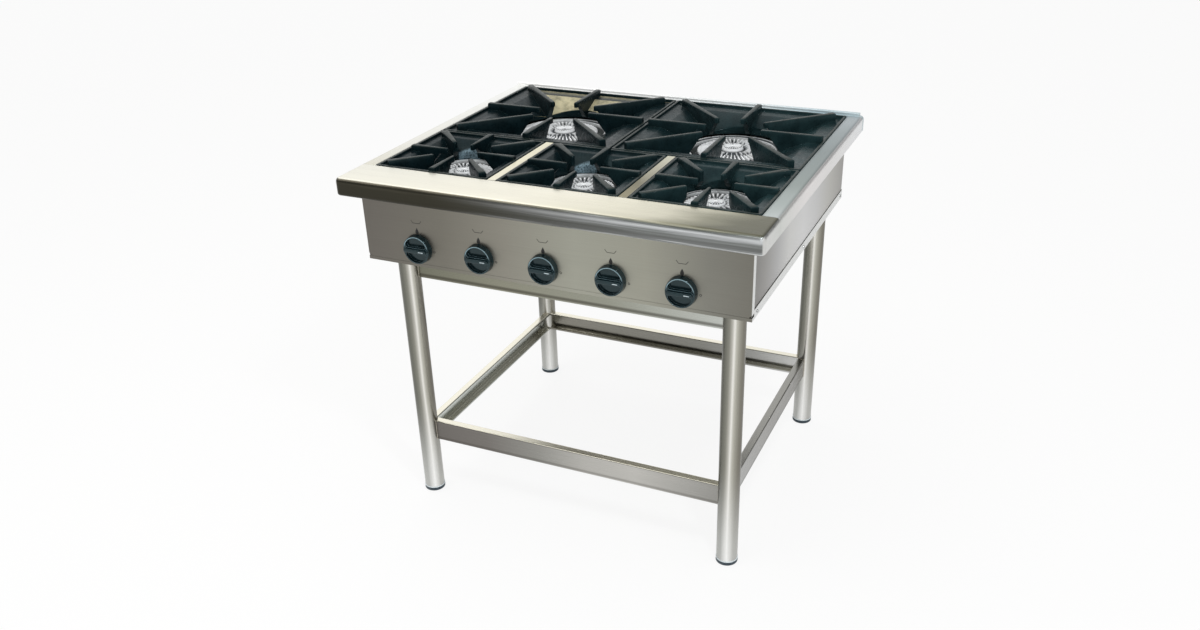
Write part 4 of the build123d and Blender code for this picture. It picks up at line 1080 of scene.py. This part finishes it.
class STOVE_OT_burners(bpy.types.Operator):
    """Cast the burner crowns and their bowls in aluminium"""
    bl_idname = "stove.burners"
    bl_label = "Burners"

    def execute(self, context):
        look = context.scene.stove_burners
        for node in CROWNS:
            recipe = self.crown(node, look)
            give([node], recipe)
            body = node if node in frame["bodies"] else "range"
            piece(f"{node}_hub", self.hub(node, look), recipe, body)
        for node in BOWLS:
            give([node], self.bowl(node, look))
        return {"FINISHED"}

    def hub(self, node, look):
        """Ribs over the middle of a crown that run out to its inner fins, round a low boss."""
        low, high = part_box(node)
        middle = (low + high) / 2
        form = burner_form(node)
        reach = form.hub
        foot, top = high.z - 0.5 * MM, high.z + look.hub_rib_rise
        # From the boss outwards: place, share of the rib's height, share of its width
        stations = ((0.5 * look.hub_core, 0.9, 0.3), (0.5 * reach, 1.0, 0.55),
                    (0.85 * reach, 0.75, 0.9), (1.06 * reach, 0.1, 1.0))
        bm = bmesh.new()
        for n in range(form.ribs):
            turn = Matrix.Rotation(2 * math.pi * n / form.ribs, 3, "Z")
            rows = []
            for place, rise, spread in stations:
                half = look.hub_rib_width / 2 * spread
                crest = foot + (top - foot) * rise
                section = ((-half, foot), (half, foot), (0.45 * half, crest), (-0.45 * half, crest))
                rows.append([bm.verts.new(Vector((middle.x, middle.y, 0.0)) + turn @ Vector((place, y, z)))
                             for y, z in section])
            capped(bm, rows)
        self.boss(bm, middle, foot, top, look)
        return mesh_from(f"{node}_hub", bm)

    def boss(self, bm, middle, foot, top, look, spokes=24):
        """A low round boss with a softened edge."""
        profile = ((1.0, foot), (1.0, top - 0.6 * MM), (0.8, top), (0.0, top))
        rows = []
        for part, z in profile:
            count = spokes if part > 0 else 1
            radius = part * look.hub_core
            angles = [2 * math.pi * n / spokes for n in range(count)]
            ring = [(radius * math.cos(angle), radius * math.sin(angle)) for angle in angles]
            rows.append([bm.verts.new((middle.x + x, middle.y + y, z)) for x, y in ring])
        bm.faces.new(rows[0][::-1])
        bridge(bm, rows[:-1])
        for n in range(spokes):
            bm.faces.new((rows[-2][n], rows[-2][(n + 1) % spokes], rows[-1][0]))

    def casting(self, recipe, tone, look, metallic, dirt):
        """Cast metal: blotches of soot, uneven gloss and a fine grit."""
        blotch = recipe.uneven(34.0, 0.0, dirt, (0.5, 0.75), detail=5.0)
        recipe.set("Base Color", recipe.mix(blotch, tone, look.soot[:]))
        recipe.set("Metallic", metallic)
        recipe.set("Roughness", recipe.uneven(90.0, look.roughness - 0.08, look.roughness + 0.12))
        grit = recipe.math("ADD", recipe.noise(900.0, detail=3.0), recipe.noise(140.0, detail=3.0))
        recipe.bump(grit, 0.3, 0.10 * MM, recipe.rounded(0.5 * MM))
        return recipe

    def crown(self, node, look):
        """Bright ribs with painted shade in the gaps between them, on the hub too."""
        recipe = Recipe(f"{node}_casting")
        form = burner_form(node)
        low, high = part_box(node)
        reach = recipe.reach((low + high) / 2)
        fall = recipe.product(recipe.math("SUBTRACT", reach, form.hub), GAP_FALL)
        floor = recipe.math("SUBTRACT", high.z - form.rise / 2, fall)
        over_floor = recipe.math("SUBTRACT", recipe.axis("Z"), floor)
        # Painted shade, darker towards the floor of each gap
        ribs = recipe.ease(over_floor, 1.5 * MM, look.gap_depth)
        tone = recipe.mix(ribs, look.gap[:], look.crown[:])
        # Painted shade between the ribs on the hub
        on_hub = recipe.math("LESS_THAN", reach, form.hub - 0.5 * MM)
        below_ribs = recipe.ease(recipe.axis("Z"), high.z + 0.6 * look.hub_rib_rise, high.z)
        tone = recipe.mix(recipe.product(on_hub, below_ribs), tone, look.gap[:])
        return self.casting(recipe, tone, look, 0.05, 0.10)

    def bowl(self, node, look):
        """A turned bright lip with painted shade in its groove, over a darker bowl."""
        recipe = Recipe(f"{node}_casting")
        form = burner_form(node)
        crown_low, crown_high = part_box(node.replace("body", "crown"))
        middle = (crown_low + crown_high) / 2
        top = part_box(node)[1].z
        lip = recipe.ease(recipe.axis("Z"), top - look.lip_height, top - look.lip_height / 3)
        tone = recipe.mix(lip, look.bowl[:], look.lip[:])
        across = recipe.span(recipe.reach(middle), form.bore, form.ring)
        groove = recipe.product(recipe.ease(across, 0.12, 0.26), recipe.ease(across, 0.80, 0.62), lip)
        # Except on the right-hand burners, the groove's painted shade falls on its right side only
        if not node.endswith("right"):
            east = recipe.past("X", middle)
            groove = recipe.product(groove, recipe.ease(east, -0.45 * form.ring, 0.25 * form.ring))
        return self.casting(recipe, recipe.mix(groove, tone, look.groove[:]), look, 0.45, 0.3)


# Knobs

def slot_outline(long, wide, steps):
    """A slot's outline about its middle."""
    radius = wide / 2
    half = long / 2 - radius
    ends = [(half, -math.pi / 2), (-half, math.pi / 2)]
    arcs = [(middle, start + math.pi * i / steps) for middle, start in ends for i in range(steps + 1)]
    return [(middle + radius * math.cos(angle), radius * math.sin(angle)) for middle, angle in arcs]


def standing_plate(bm, outline, middle, front, rear):
    """A thin upright plate with its face towards the front, drawn round a middle point (x, z)."""
    def ring(y):
        return [bm.verts.new((middle[0] + x, y, middle[1] + z)) for x, z in outline]
    near, far = ring(front), ring(rear)
    count = len(outline)
    bm.faces.new(near)
    bm.faces.new(reversed(far))
    for i in range(count):
        bm.faces.new((near[i], far[i], far[(i + 1) % count], near[(i + 1) % count]))


class STOVE_OT_knobs(bpy.types.Operator):
    """Gloss the knobs and inlay their pointers"""
    bl_idname = "stove.knobs"
    bl_label = "Knobs"

    def execute(self, context):
        look = context.scene.stove_knobs
        inlay = Recipe("pointer_inlay", roughness=0.3)
        dirt = inlay.uneven(300.0, 0.0, 1.0, (0.4, 0.7))
        inlay.set("Base Color", inlay.mix(dirt, look.pointer[:], shade(168, 182, 188)))
        inlay.bump(inlay.noise(500.0), 0.15, 0.05 * MM)
        for node in KNOBS:
            give([node], self.gloss(node, look))
            low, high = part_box(node)
            middle = ((low.x + high.x) / 2 + look.pointer_place, (low.z + high.z) / 2)
            bm = bmesh.new()
            outline = slot_outline(look.pointer_length, look.pointer_width, 8)
            standing_plate(bm, outline, middle, low.y + 0.1 * MM, low.y + 0.1 * MM + look.pointer_depth)
            piece(f"{node}_pointer", mesh_from(f"{node}_pointer", bm), inlay, node)
        return {"FINISHED"}

    def gloss(self, node, look):
        """Dark gloss with a painted sheen along the edges and a painted highlight on the upper half of the
        dial's rim.
        """
        recipe = Recipe(f"{node}_gloss")
        smear = recipe.uneven(70.0, 0.0, 1.0, (0.4, 0.7), detail=5.0)
        tone = recipe.mix(recipe.product(smear, 0.3), look.body[:], shade(26, 48, 54))
        # Painted sheen along the edges
        edges = recipe.product(recipe.worn(1.2 * MM, 3.0), 0.7)
        low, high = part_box(node)
        middle = (low + high) / 2
        reach = recipe.reach(middle, "XZ")
        # Painted highlight on the dial's rim, on its upper half and on faces that look forward
        rim = recipe.product(recipe.ease(reach, look.dial - 0.2 * MM, look.dial + 0.2 * MM),
                             recipe.ease(reach, look.dial + look.dial_sheen_width, look.dial + look.dial_sheen_width / 2))
        upper = recipe.ease(recipe.past("Z", middle), 2.0 * MM, 14.0 * MM)
        forward = recipe.ease(recipe.product(recipe.facing("Y"), -1.0), 0.6, 0.9)
        rubbed = recipe.math("MAXIMUM", edges, recipe.product(rim, upper, forward))
        recipe.set("Base Color", recipe.mix(rubbed, tone, look.sheen[:]))
        recipe.set("Roughness", recipe.span(smear, 0.0, 1.0, look.roughness, look.roughness + 0.14))
        recipe.set("Specular Tint", (0.60, 0.88, 0.94))
        recipe.set("Coat Weight", 0.2)
        recipe.set("Coat Roughness", 0.06)
        recipe.bump(recipe.noise(120.0, detail=3.0), 0.08, 0.2 * MM, recipe.rounded(0.8 * MM))
        return recipe


# Gas line

class STOVE_OT_gas_line(bpy.types.Operator):
    """Finish the brass and the pipes behind the panel"""
    bl_idname = "stove.gas_line"
    bl_label = "Gas line"

    def execute(self, context):
        brass = self.metal("brass_turned", shade(214, 178, 110), shade(132, 98, 52), 0.25, 1.0)
        pipe = self.metal("pipe_zinc", shade(176, 180, 182), shade(120, 122, 120), 0.45, 0.7)
        spindles = [n for n in frame["nodes"] if n.startswith("tap_spindle")]
        give(["gas_taps", "injectors", *spindles], brass)
        give(["gas_manifold", "gas_inlet"], pipe)
        return {"FINISHED"}

    def metal(self, name, tone, stain, roughness, metallic):
        """Metal with stained spots."""
        recipe = Recipe(name, metallic=metallic)
        spots = recipe.uneven(45.0, 0.0, 0.8, (0.5, 0.75), detail=6.0)
        recipe.set("Base Color", recipe.mix(spots, tone, stain))
        recipe.set("Roughness", recipe.uneven(120.0, roughness - 0.08, roughness + 0.15))
        recipe.bump(recipe.noise(500.0), 0.2, 0.08 * MM, recipe.rounded(0.6 * MM))
        return recipe


# Printed marks

# How far an arm of the bracket leans outwards, as a share of its height
BRACKET_LEAN = 0.8


def drop_outline(wide, high, steps=28):
    """A flame drop with its point upwards."""
    fullness, spread = 1.3, 0.62
    points = []
    for i in range(1, steps):
        turn = 2 * math.pi * i / steps
        across = math.sin(turn) * abs(math.sin(turn / 2)) ** fullness
        points.append((across * wide * spread, high / 2 * math.cos(turn)))
    return [(0.0, high / 2), *points]


def line_outline(points, width):
    """A printed line of even width through a few points."""
    def side(sign):
        made = []
        for i, point in enumerate(points):
            before = Vector(points[max(i - 1, 0)])
            after = Vector(points[min(i + 1, len(points) - 1)])
            along = (after - before).normalized()
            made.append((point[0] - along.y * sign * width / 2, point[1] + along.x * sign * width / 2))
        return made
    return side(-1) + side(1)[::-1]


def ring_mark(bm, radius, width, middle, front, rear, steps=24):
    """A printed ring, in as many flat pieces as steps."""
    for i in range(steps):
        angles = [2 * math.pi * (i + k) / steps for k in (0, 1)]
        outer = [(radius * math.cos(a), radius * math.sin(a)) for a in angles]
        inner = [((radius - width) * math.cos(a), (radius - width) * math.sin(a)) for a in reversed(angles)]
        standing_plate(bm, outer + inner, middle, front, rear)


class STOVE_OT_marks(bpy.types.Operator):
    """Print the flame drops, brackets and off rings on the control panel"""
    bl_idname = "stove.marks"
    bl_label = "Printed marks"

    def execute(self, context):
        sizes = context.scene.stove_marks
        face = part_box("control_panel")[0].y
        front, rear = face - sizes.thickness, face
        ink = self.ink("ink_black", sizes.ink[:])
        faint = self.ink("ink_faint", sizes.faint_ink[:])
        for number, node in enumerate(KNOBS, start=1):
            low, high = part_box(node)
            x, z = (low.x + high.x) / 2, (low.z + high.z) / 2
            flame = bmesh.new()
            drop = drop_outline(sizes.flame_width, sizes.flame_height)
            standing_plate(flame, drop, (x, z + sizes.flame_rise), front, rear)
            piece(f"mark_flame_{number}", mesh_from("mark_flame", flame), ink, "range")
            half, rise = sizes.bracket_width / 2, sizes.bracket_height
            inner = half - BRACKET_LEAN * rise
            foot = (x, z + sizes.bracket_rise)
            bracket = bmesh.new()
            path = [(-half, rise), (-inner, 0.0), (inner, 0.0), (half, rise)]
            for start, end in zip(path, path[1:]):
                standing_plate(bracket, line_outline([start, end], sizes.line), foot, front, rear)
            piece(f"mark_bracket_{number}", mesh_from("mark_bracket", bracket), faint, "range")
            ring = bmesh.new()
            middle = (x + sizes.off_place, z - sizes.off_drop)
            ring_mark(ring, sizes.off_radius, sizes.line, middle, front, rear)
            piece(f"mark_off_{number}", mesh_from("mark_off", ring), faint, "range")
        return {"FINISHED"}

    def ink(self, name, tone):
        """Printing that is thin in spots."""
        recipe = Recipe(name, roughness=0.5)
        thin = recipe.uneven(900.0, 0.0, 0.4, (0.4, 0.8))
        recipe.set("Base Color", recipe.mix(thin, tone, shade(96, 94, 88)))
        return recipe


# Welds of the stand

# Shares of a bead's thickness: how deep its ripples are, how far they wander, and what is left at its ends
RIPPLE = 0.16
RIPPLE_DRIFT = 0.06
BEAD_END = 0.35


def bead(bm, path, radius, step, rng):
    """A rippled weld bead along a path of points."""
    sides = 8
    angles = [2 * math.pi * n / sides for n in range(sides)]
    lengths = [0.0]
    for first, second in zip(path, path[1:]):
        lengths.append(lengths[-1] + (second - first).length)
    count = max(3, int(lengths[-1] / step) * 3)
    rings = []
    for i in range(count + 1):
        reach = lengths[-1] * i / count
        k = max(j for j in range(len(path) - 1) if lengths[j] <= reach + 1e-12)
        part = (reach - lengths[k]) / max(lengths[k + 1] - lengths[k], 1e-9)
        centre = path[k].lerp(path[k + 1], min(part, 1.0))
        along = (path[k + 1] - path[k]).normalized()
        side = along.orthogonal().normalized()
        other = along.cross(side)
        swell = 1 - RIPPLE + RIPPLE * math.cos(2 * math.pi * reach / step)
        swell += rng.uniform(-RIPPLE_DRIFT, RIPPLE_DRIFT)
        taper = BEAD_END if i in (0, count) else 1.0
        size = radius * swell * taper
        spots = [centre + (side * math.cos(angle) + other * math.sin(angle)) * size for angle in angles]
        rings.append([bm.verts.new(spot) for spot in spots])
    capped(bm, rings)


class STOVE_OT_welds(bpy.types.Operator):
    """Lay the weld beads where rails meet legs"""
    bl_idname = "stove.welds"
    bl_label = "Welds"

    def execute(self, context):
        sizes = context.scene.stove_welds
        rng = random.Random(sizes.seed)
        recipe = Recipe("weld_bead", metallic=1.0)
        tint = recipe.uneven(300.0, 0.0, 1.0, (0.4, 0.7))
        recipe.set("Base Color", recipe.mix(tint, shade(206, 202, 190), shade(130, 118, 100)))
        recipe.set("Roughness", recipe.uneven(500.0, 0.25, 0.5))
        recipe.bump(recipe.noise(700.0), 0.3, 0.1 * MM)
        for leg in LEGS:
            place = leg.removeprefix("leg_")
            bm = bmesh.new()
            for level in ("lower", "upper"):
                for side in place.split("_"):
                    self.joint(bm, leg, f"{level}_rail_{side}", sizes, rng)
            mesh = mesh_from(f"welds_{place}", bm, smooth=True)
            piece(f"welds_{place}", mesh, recipe, "range")
        return {"FINISHED"}

    def joint(self, bm, leg, rail, sizes, rng):
        """Beads up the web and along the top flange of one rail, where it meets one leg."""
        low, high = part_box(leg)
        rail_low, rail_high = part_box(rail)
        centre = (low + high) / 2
        radius = (high.x - low.x) / 2
        towards = ((rail_low + rail_high) / 2 - centre)
        across = rail.endswith(("front", "rear"))
        if across:
            run = Vector((math.copysign(1, towards.x), 0, 0))
            inner = Vector((0, math.copysign(1, -centre.y), 0))
        else:
            run = Vector((0, math.copysign(1, towards.y), 0))
            inner = Vector((math.copysign(1, -centre.x), 0, 0))
        web = (rail_low.y if centre.y < 0 else rail_high.y) if across else (
            rail_low.x if centre.x < 0 else rail_high.x)
        offset = (web - (centre.y if across else centre.x)) * (inner.y if across else inner.x)
        depth = (rail_high.y - rail_low.y) if across else (rail_high.x - rail_low.x)

        def on_leg(sideways, height):
            out = math.sqrt(max(radius ** 2 - sideways ** 2, 0.0))
            spot = centre + run * out + inner * sideways
            return Vector((spot.x, spot.y, height))

        up, over = 4, 6
        upright = [on_leg(offset, rail_low.z + (rail_high.z - rail_low.z) * i / up) for i in range(up + 1)]
        top = [on_leg(offset + depth * i / over, rail_high.z) for i in range(1, over + 1)]
        bead(bm, upright + top, sizes.bead, sizes.step, rng)


# Screws

# How near a screw has to be to an end of the stove to look sideways
SIDE_ZONE = 100.0 * MM
# How flat the dome of a head is: 2 would make it a ball
DOME_POWER = 2.6


class STOVE_OT_screws(bpy.types.Operator):
    """Put cross-slotted heads on the panel screws"""
    bl_idname = "stove.screws"
    bl_label = "Panel screws"

    def execute(self, context):
        sizes = context.scene.stove_screws
        recipe = Recipe("screw_bright", metallic=1.0)
        dirt = recipe.uneven(200.0, 0.0, 1.0, (0.4, 0.8))
        recipe.set("Base Color", recipe.mix(dirt, shade(222, 224, 224), shade(150, 150, 146)))
        recipe.set("Roughness", recipe.uneven(300.0, 0.18, 0.4))
        recipe.bump(recipe.noise(800.0), 0.15, 0.05 * MM)
        source = frame["nodes"]["panel_screws"].data
        bm = bmesh.new()
        for seat, outward in self.seats(source, sizes):
            self.head(bm, seat, outward, sizes)
        mesh = mesh_from("panel_screw_heads", bm, smooth=True)
        made = piece("panel_screw_heads", mesh, recipe, "range")
        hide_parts("panel_screws")
        return {"FINISHED"}

    def seats(self, source, sizes):
        """Where each screw's head sits, and which way it looks, read from the solids."""
        bm = bmesh.new()
        bm.from_mesh(source)
        bmesh.ops.remove_doubles(bm, verts=bm.verts, dist=0.01 * MM)
        left = set(bm.verts)
        found = []
        # In the mesh's own order, so that each run makes the same heads in the same order
        for start in bm.verts:
            if start not in left:
                continue
            left.discard(start)
            group, front = [], [start]
            while front:
                vert = front.pop()
                group.append(vert.co.copy())
                for edge in vert.link_edges:
                    other = edge.other_vert(vert)
                    if other in left:
                        left.discard(other)
                        front.append(other)
            found.append(group)
        bm.free()
        for points in found:
            low = Vector(min(p[k] for p in points) for k in range(3))
            high = Vector(max(p[k] for p in points) for k in range(3))
            middle = (low + high) / 2
            outward = Vector((0, 0, 0))
            k = 0 if abs(middle.x) > OBJECT_HIGH.x - SIDE_ZONE else 1
            outward[k] = math.copysign(1, middle[k])
            tip = high[k] if outward[k] > 0 else low[k]
            seat = middle.copy()
            seat[k] = tip - outward[k] * sizes.rise
            yield seat, outward

    def head(self, bm, seat, outward, sizes):
        """A domed head with a cross in it, as rings of points."""
        turn = outward.to_track_quat("Z", "Y").to_matrix()
        spokes, rings = 32, 9
        rows = []
        for i in range(rings + 1):
            reach = sizes.head * i / rings
            row = []
            for n in range(spokes):
                angle = 2 * math.pi * n / spokes
                x, y = reach * math.cos(angle), reach * math.sin(angle)
                height = sizes.rise * math.sqrt(max(1 - (reach / sizes.head) ** DOME_POWER, 0.0))
                in_cross = min(abs(x), abs(y)) < sizes.slot_width and max(abs(x), abs(y)) < sizes.slot_reach
                row.append(bm.verts.new(seat + turn @ Vector((x, y, height - sizes.slot_depth * in_cross))))
                if i == 0:
                    break
            rows.append(row)
        for n in range(spokes):
            bm.faces.new((rows[0][0], rows[1][n], rows[1][(n + 1) % spokes]))
        bridge(bm, rows[1:])
        bm.faces.new(rows[-1])


# Stage

# Pale and dark patches of the room: where each lies, the cosines at its edge and at its heart, its strength
WINDOWS = (
    ((-0.62, 0.74, 0.28), 0.55, 0.95, 0.75),
    ((0.85, -0.35, 0.25), 0.72, 0.97, 0.80),
    ((0.0, 0.0, 1.0), 0.2, 0.95, 0.45),
    ((0.25, 0.95, 0.10), 0.75, 0.98, -0.22),
)
# What the patches add on average, which the plain light gives back
PATCH_OFFSET = 0.18
# Where each lamp hangs, where it aims, its width and height, its tint
LAMPS = {
    "key": ((-1.2, -1.0, 3.2), (0.0, 0.0, 0.6), (2.4, 2.4), (1.0, 0.985, 0.96)),
    "fill": ((1.8, -3.2, 1.9), (0.0, 0.0, 0.5), (1.4, 2.2), (0.97, 0.985, 1.0)),
    "glint": ((1.05, -1.2, 2.45), (0.0, -0.2, 0.8), (0.15, 0.40), (0.95, 0.98, 1.0)),
}


def world_light(settings):
    """Plain room light that metal reflects as a pale window behind on the left and a darker wall."""
    world = bpy.data.worlds.new("studio")
    bpy.context.scene.world = world
    world.use_nodes = True
    tree = world.node_tree
    tree.nodes.clear()

    def node(kind, **values):
        made = tree.nodes.new(kind)
        for key, value in values.items():
            setattr(made, key, value)
        return made

    direction = node("ShaderNodeTexCoord").outputs["Generated"]

    def patch(aim, start, end, level):
        """Light that grows towards one direction."""
        dot = node("ShaderNodeVectorMath", operation="DOT_PRODUCT")
        tree.links.new(direction, dot.inputs[0])
        dot.inputs[1].default_value = Vector(aim).normalized()
        ramp = node("ShaderNodeMapRange", interpolation_type="SMOOTHSTEP")
        tree.links.new(dot.outputs["Value"], ramp.inputs[0])
        for socket, value in zip(list(ramp.inputs)[1:5], (start, end, 0.0, level)):
            socket.default_value = value
        return ramp.outputs[0]

    def total(values):
        """All the values added up, the first of them a socket."""
        made = values[0]
        for value in values[1:]:
            sum_node = node("ShaderNodeMath", operation="ADD")
            tree.links.new(made, sum_node.inputs[0])
            if isinstance(value, float):
                sum_node.inputs[1].default_value = value
            else:
                tree.links.new(value, sum_node.inputs[1])
            made = sum_node.outputs[0]
        return made

    level = total([*(patch(*window) for window in WINDOWS), settings.room - PATCH_OFFSET])
    path = node("ShaderNodeLightPath")
    room = node("ShaderNodeBackground")
    tree.links.new(level, room.inputs["Strength"])
    white = node("ShaderNodeBackground")
    mix = node("ShaderNodeMixShader")
    tree.links.new(path.outputs["Is Camera Ray"], mix.inputs[0])
    tree.links.new(room.outputs[0], mix.inputs[1])
    tree.links.new(white.outputs[0], mix.inputs[2])
    white.inputs["Color"].default_value = (1.0, 1.0, 1.0, 1.0)
    tree.links.new(mix.outputs[0], node("ShaderNodeOutputWorld").inputs["Surface"])


# How strongly the floor glows of its own for each kind of ray
FLOOR_GLOW = {"Is Camera Ray": 0.86, "Is Glossy Ray": 0.5, "Is Transmission Ray": 0.5}


def floor_finish(settings):
    """A pale floor that stays near white for the camera and keeps a soft shadow."""
    recipe = Recipe("floor_pale", roughness=0.6)
    grain = recipe.uneven(30.0, 0.0, 0.03)
    recipe.set("Base Color", recipe.mix(grain, settings.floor[:], shade(228, 228, 226)))
    recipe.set("Specular IOR Level", 0.2)
    path = recipe.node("ShaderNodeLightPath")
    glow = recipe.node("ShaderNodeEmission")
    glow.inputs["Color"].default_value = (1.0, 1.0, 1.0, 1.0)
    seen, mirrored, through = (recipe.product(path.outputs[ray], part) for ray, part in FLOOR_GLOW.items())
    mix = recipe.node("ShaderNodeMixShader")
    recipe.join(recipe.math("MAXIMUM", seen, recipe.math("MAXIMUM", mirrored, through)), mix.inputs[0])
    recipe.join(recipe.shader.outputs["BSDF"], mix.inputs[1])
    recipe.join(glow.outputs[0], mix.inputs[2])
    output = next(n for n in recipe.tree.nodes if n.type == "OUTPUT_MATERIAL")
    recipe.join(mix.outputs[0], output.inputs["Surface"])
    return recipe


def lamp(name, place, aim, size, power, tint):
    """A soft rectangular lamp that the camera doesn't see."""
    data = bpy.data.lights.new(name, "AREA")
    data.shape = "RECTANGLE"
    data.size, data.size_y = size
    data.energy = power
    data.color = tint
    made = bpy.data.objects.new(name, data)
    bpy.context.scene.collection.objects.link(made)
    made.location = place
    made.rotation_euler = (Vector(aim) - Vector(place)).to_track_quat("-Z", "Y").to_euler()
    made.visible_camera = False
    return made


class STOVE_OT_stage(bpy.types.Operator):
    """Set the floor, the light and the camera"""
    bl_idname = "stove.stage"
    bl_label = "Stage"

    def execute(self, context):
        settings = context.scene.stove_stage
        bpy.ops.mesh.primitive_plane_add(size=40.0)
        floor = context.object
        floor.name = "floor"
        give([floor], floor_finish(settings))
        world_light(settings)
        for name, (place, aim, size, tint) in LAMPS.items():
            lamp(f"{name}_lamp", place, aim, size, getattr(settings, name), tint)
        self.camera(context, settings)
        context.scene.view_settings.view_transform = "Standard"
        return {"FINISHED"}

    def camera(self, context, settings):
        """The camera at its place, turned, raised and tilted."""
        data = bpy.data.cameras.new("camera")
        data.sensor_width = 36.0
        data.lens = settings.lens
        data.shift_x, data.shift_y = settings.shift
        made = bpy.data.objects.new("camera", data)
        context.scene.collection.objects.link(made)
        made.matrix_world = (Matrix.Translation(settings.place) @ Matrix.Rotation(settings.azimuth, 4, "Z")
                             @ Matrix.Rotation(math.pi / 2 - settings.elevation, 4, "X")
                             @ Matrix.Rotation(settings.roll, 4, "Z"))
        context.scene.camera = made


class STOVE_PT_looks(bpy.types.Panel):
    """The steps that dress the stove, in order"""
    bl_idname = "STOVE_PT_looks"
    bl_label = "Gas stove"
    bl_space_type = "VIEW_3D"
    bl_region_type = "UI"
    bl_category = "Stove"

    def draw(self, context):
        for step in STEPS:
            self.layout.operator(step.bl_idname)


SETTINGS = {
    "stove_worktop": WorktopLook,
    "stove_body": BodyLook,
    "stove_stand": StandLook,
    "stove_grates": GrateLook,
    "stove_burners": BurnerLook,
    "stove_knobs": KnobLook,
    "stove_marks": MarkSizes,
    "stove_welds": WeldSizes,
    "stove_screws": ScrewSizes,
    "stove_stage": StageSettings,
}
STEPS = (STOVE_OT_worktop, STOVE_OT_body, STOVE_OT_stand, STOVE_OT_dividers, STOVE_OT_grates,
         STOVE_OT_burners, STOVE_OT_knobs, STOVE_OT_gas_line, STOVE_OT_marks, STOVE_OT_welds,
         STOVE_OT_screws, STOVE_OT_stage)


def register():
    for group in SETTINGS.values():
        bpy.utils.register_class(group)
    for name, group in SETTINGS.items():
        setattr(bpy.types.Scene, name, PointerProperty(type=group))
    for step in STEPS:
        bpy.utils.register_class(step)
    bpy.utils.register_class(STOVE_PT_looks)


def unregister():
    bpy.utils.unregister_class(STOVE_PT_looks)
    for step in reversed(STEPS):
        bpy.utils.unregister_class(step)
    for name in SETTINGS:
        delattr(bpy.types.Scene, name)
    for group in reversed(list(SETTINGS.values())):
        bpy.utils.unregister_class(group)


def main():
    """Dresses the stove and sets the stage."""
    register()
    for step in STEPS:
        section, name = step.bl_idname.split(".")
        if getattr(getattr(bpy.ops, section), name)() != {"FINISHED"}:
            raise RuntimeError(f"{step.bl_label} did not finish")


if __name__ == "__main__":
    main()
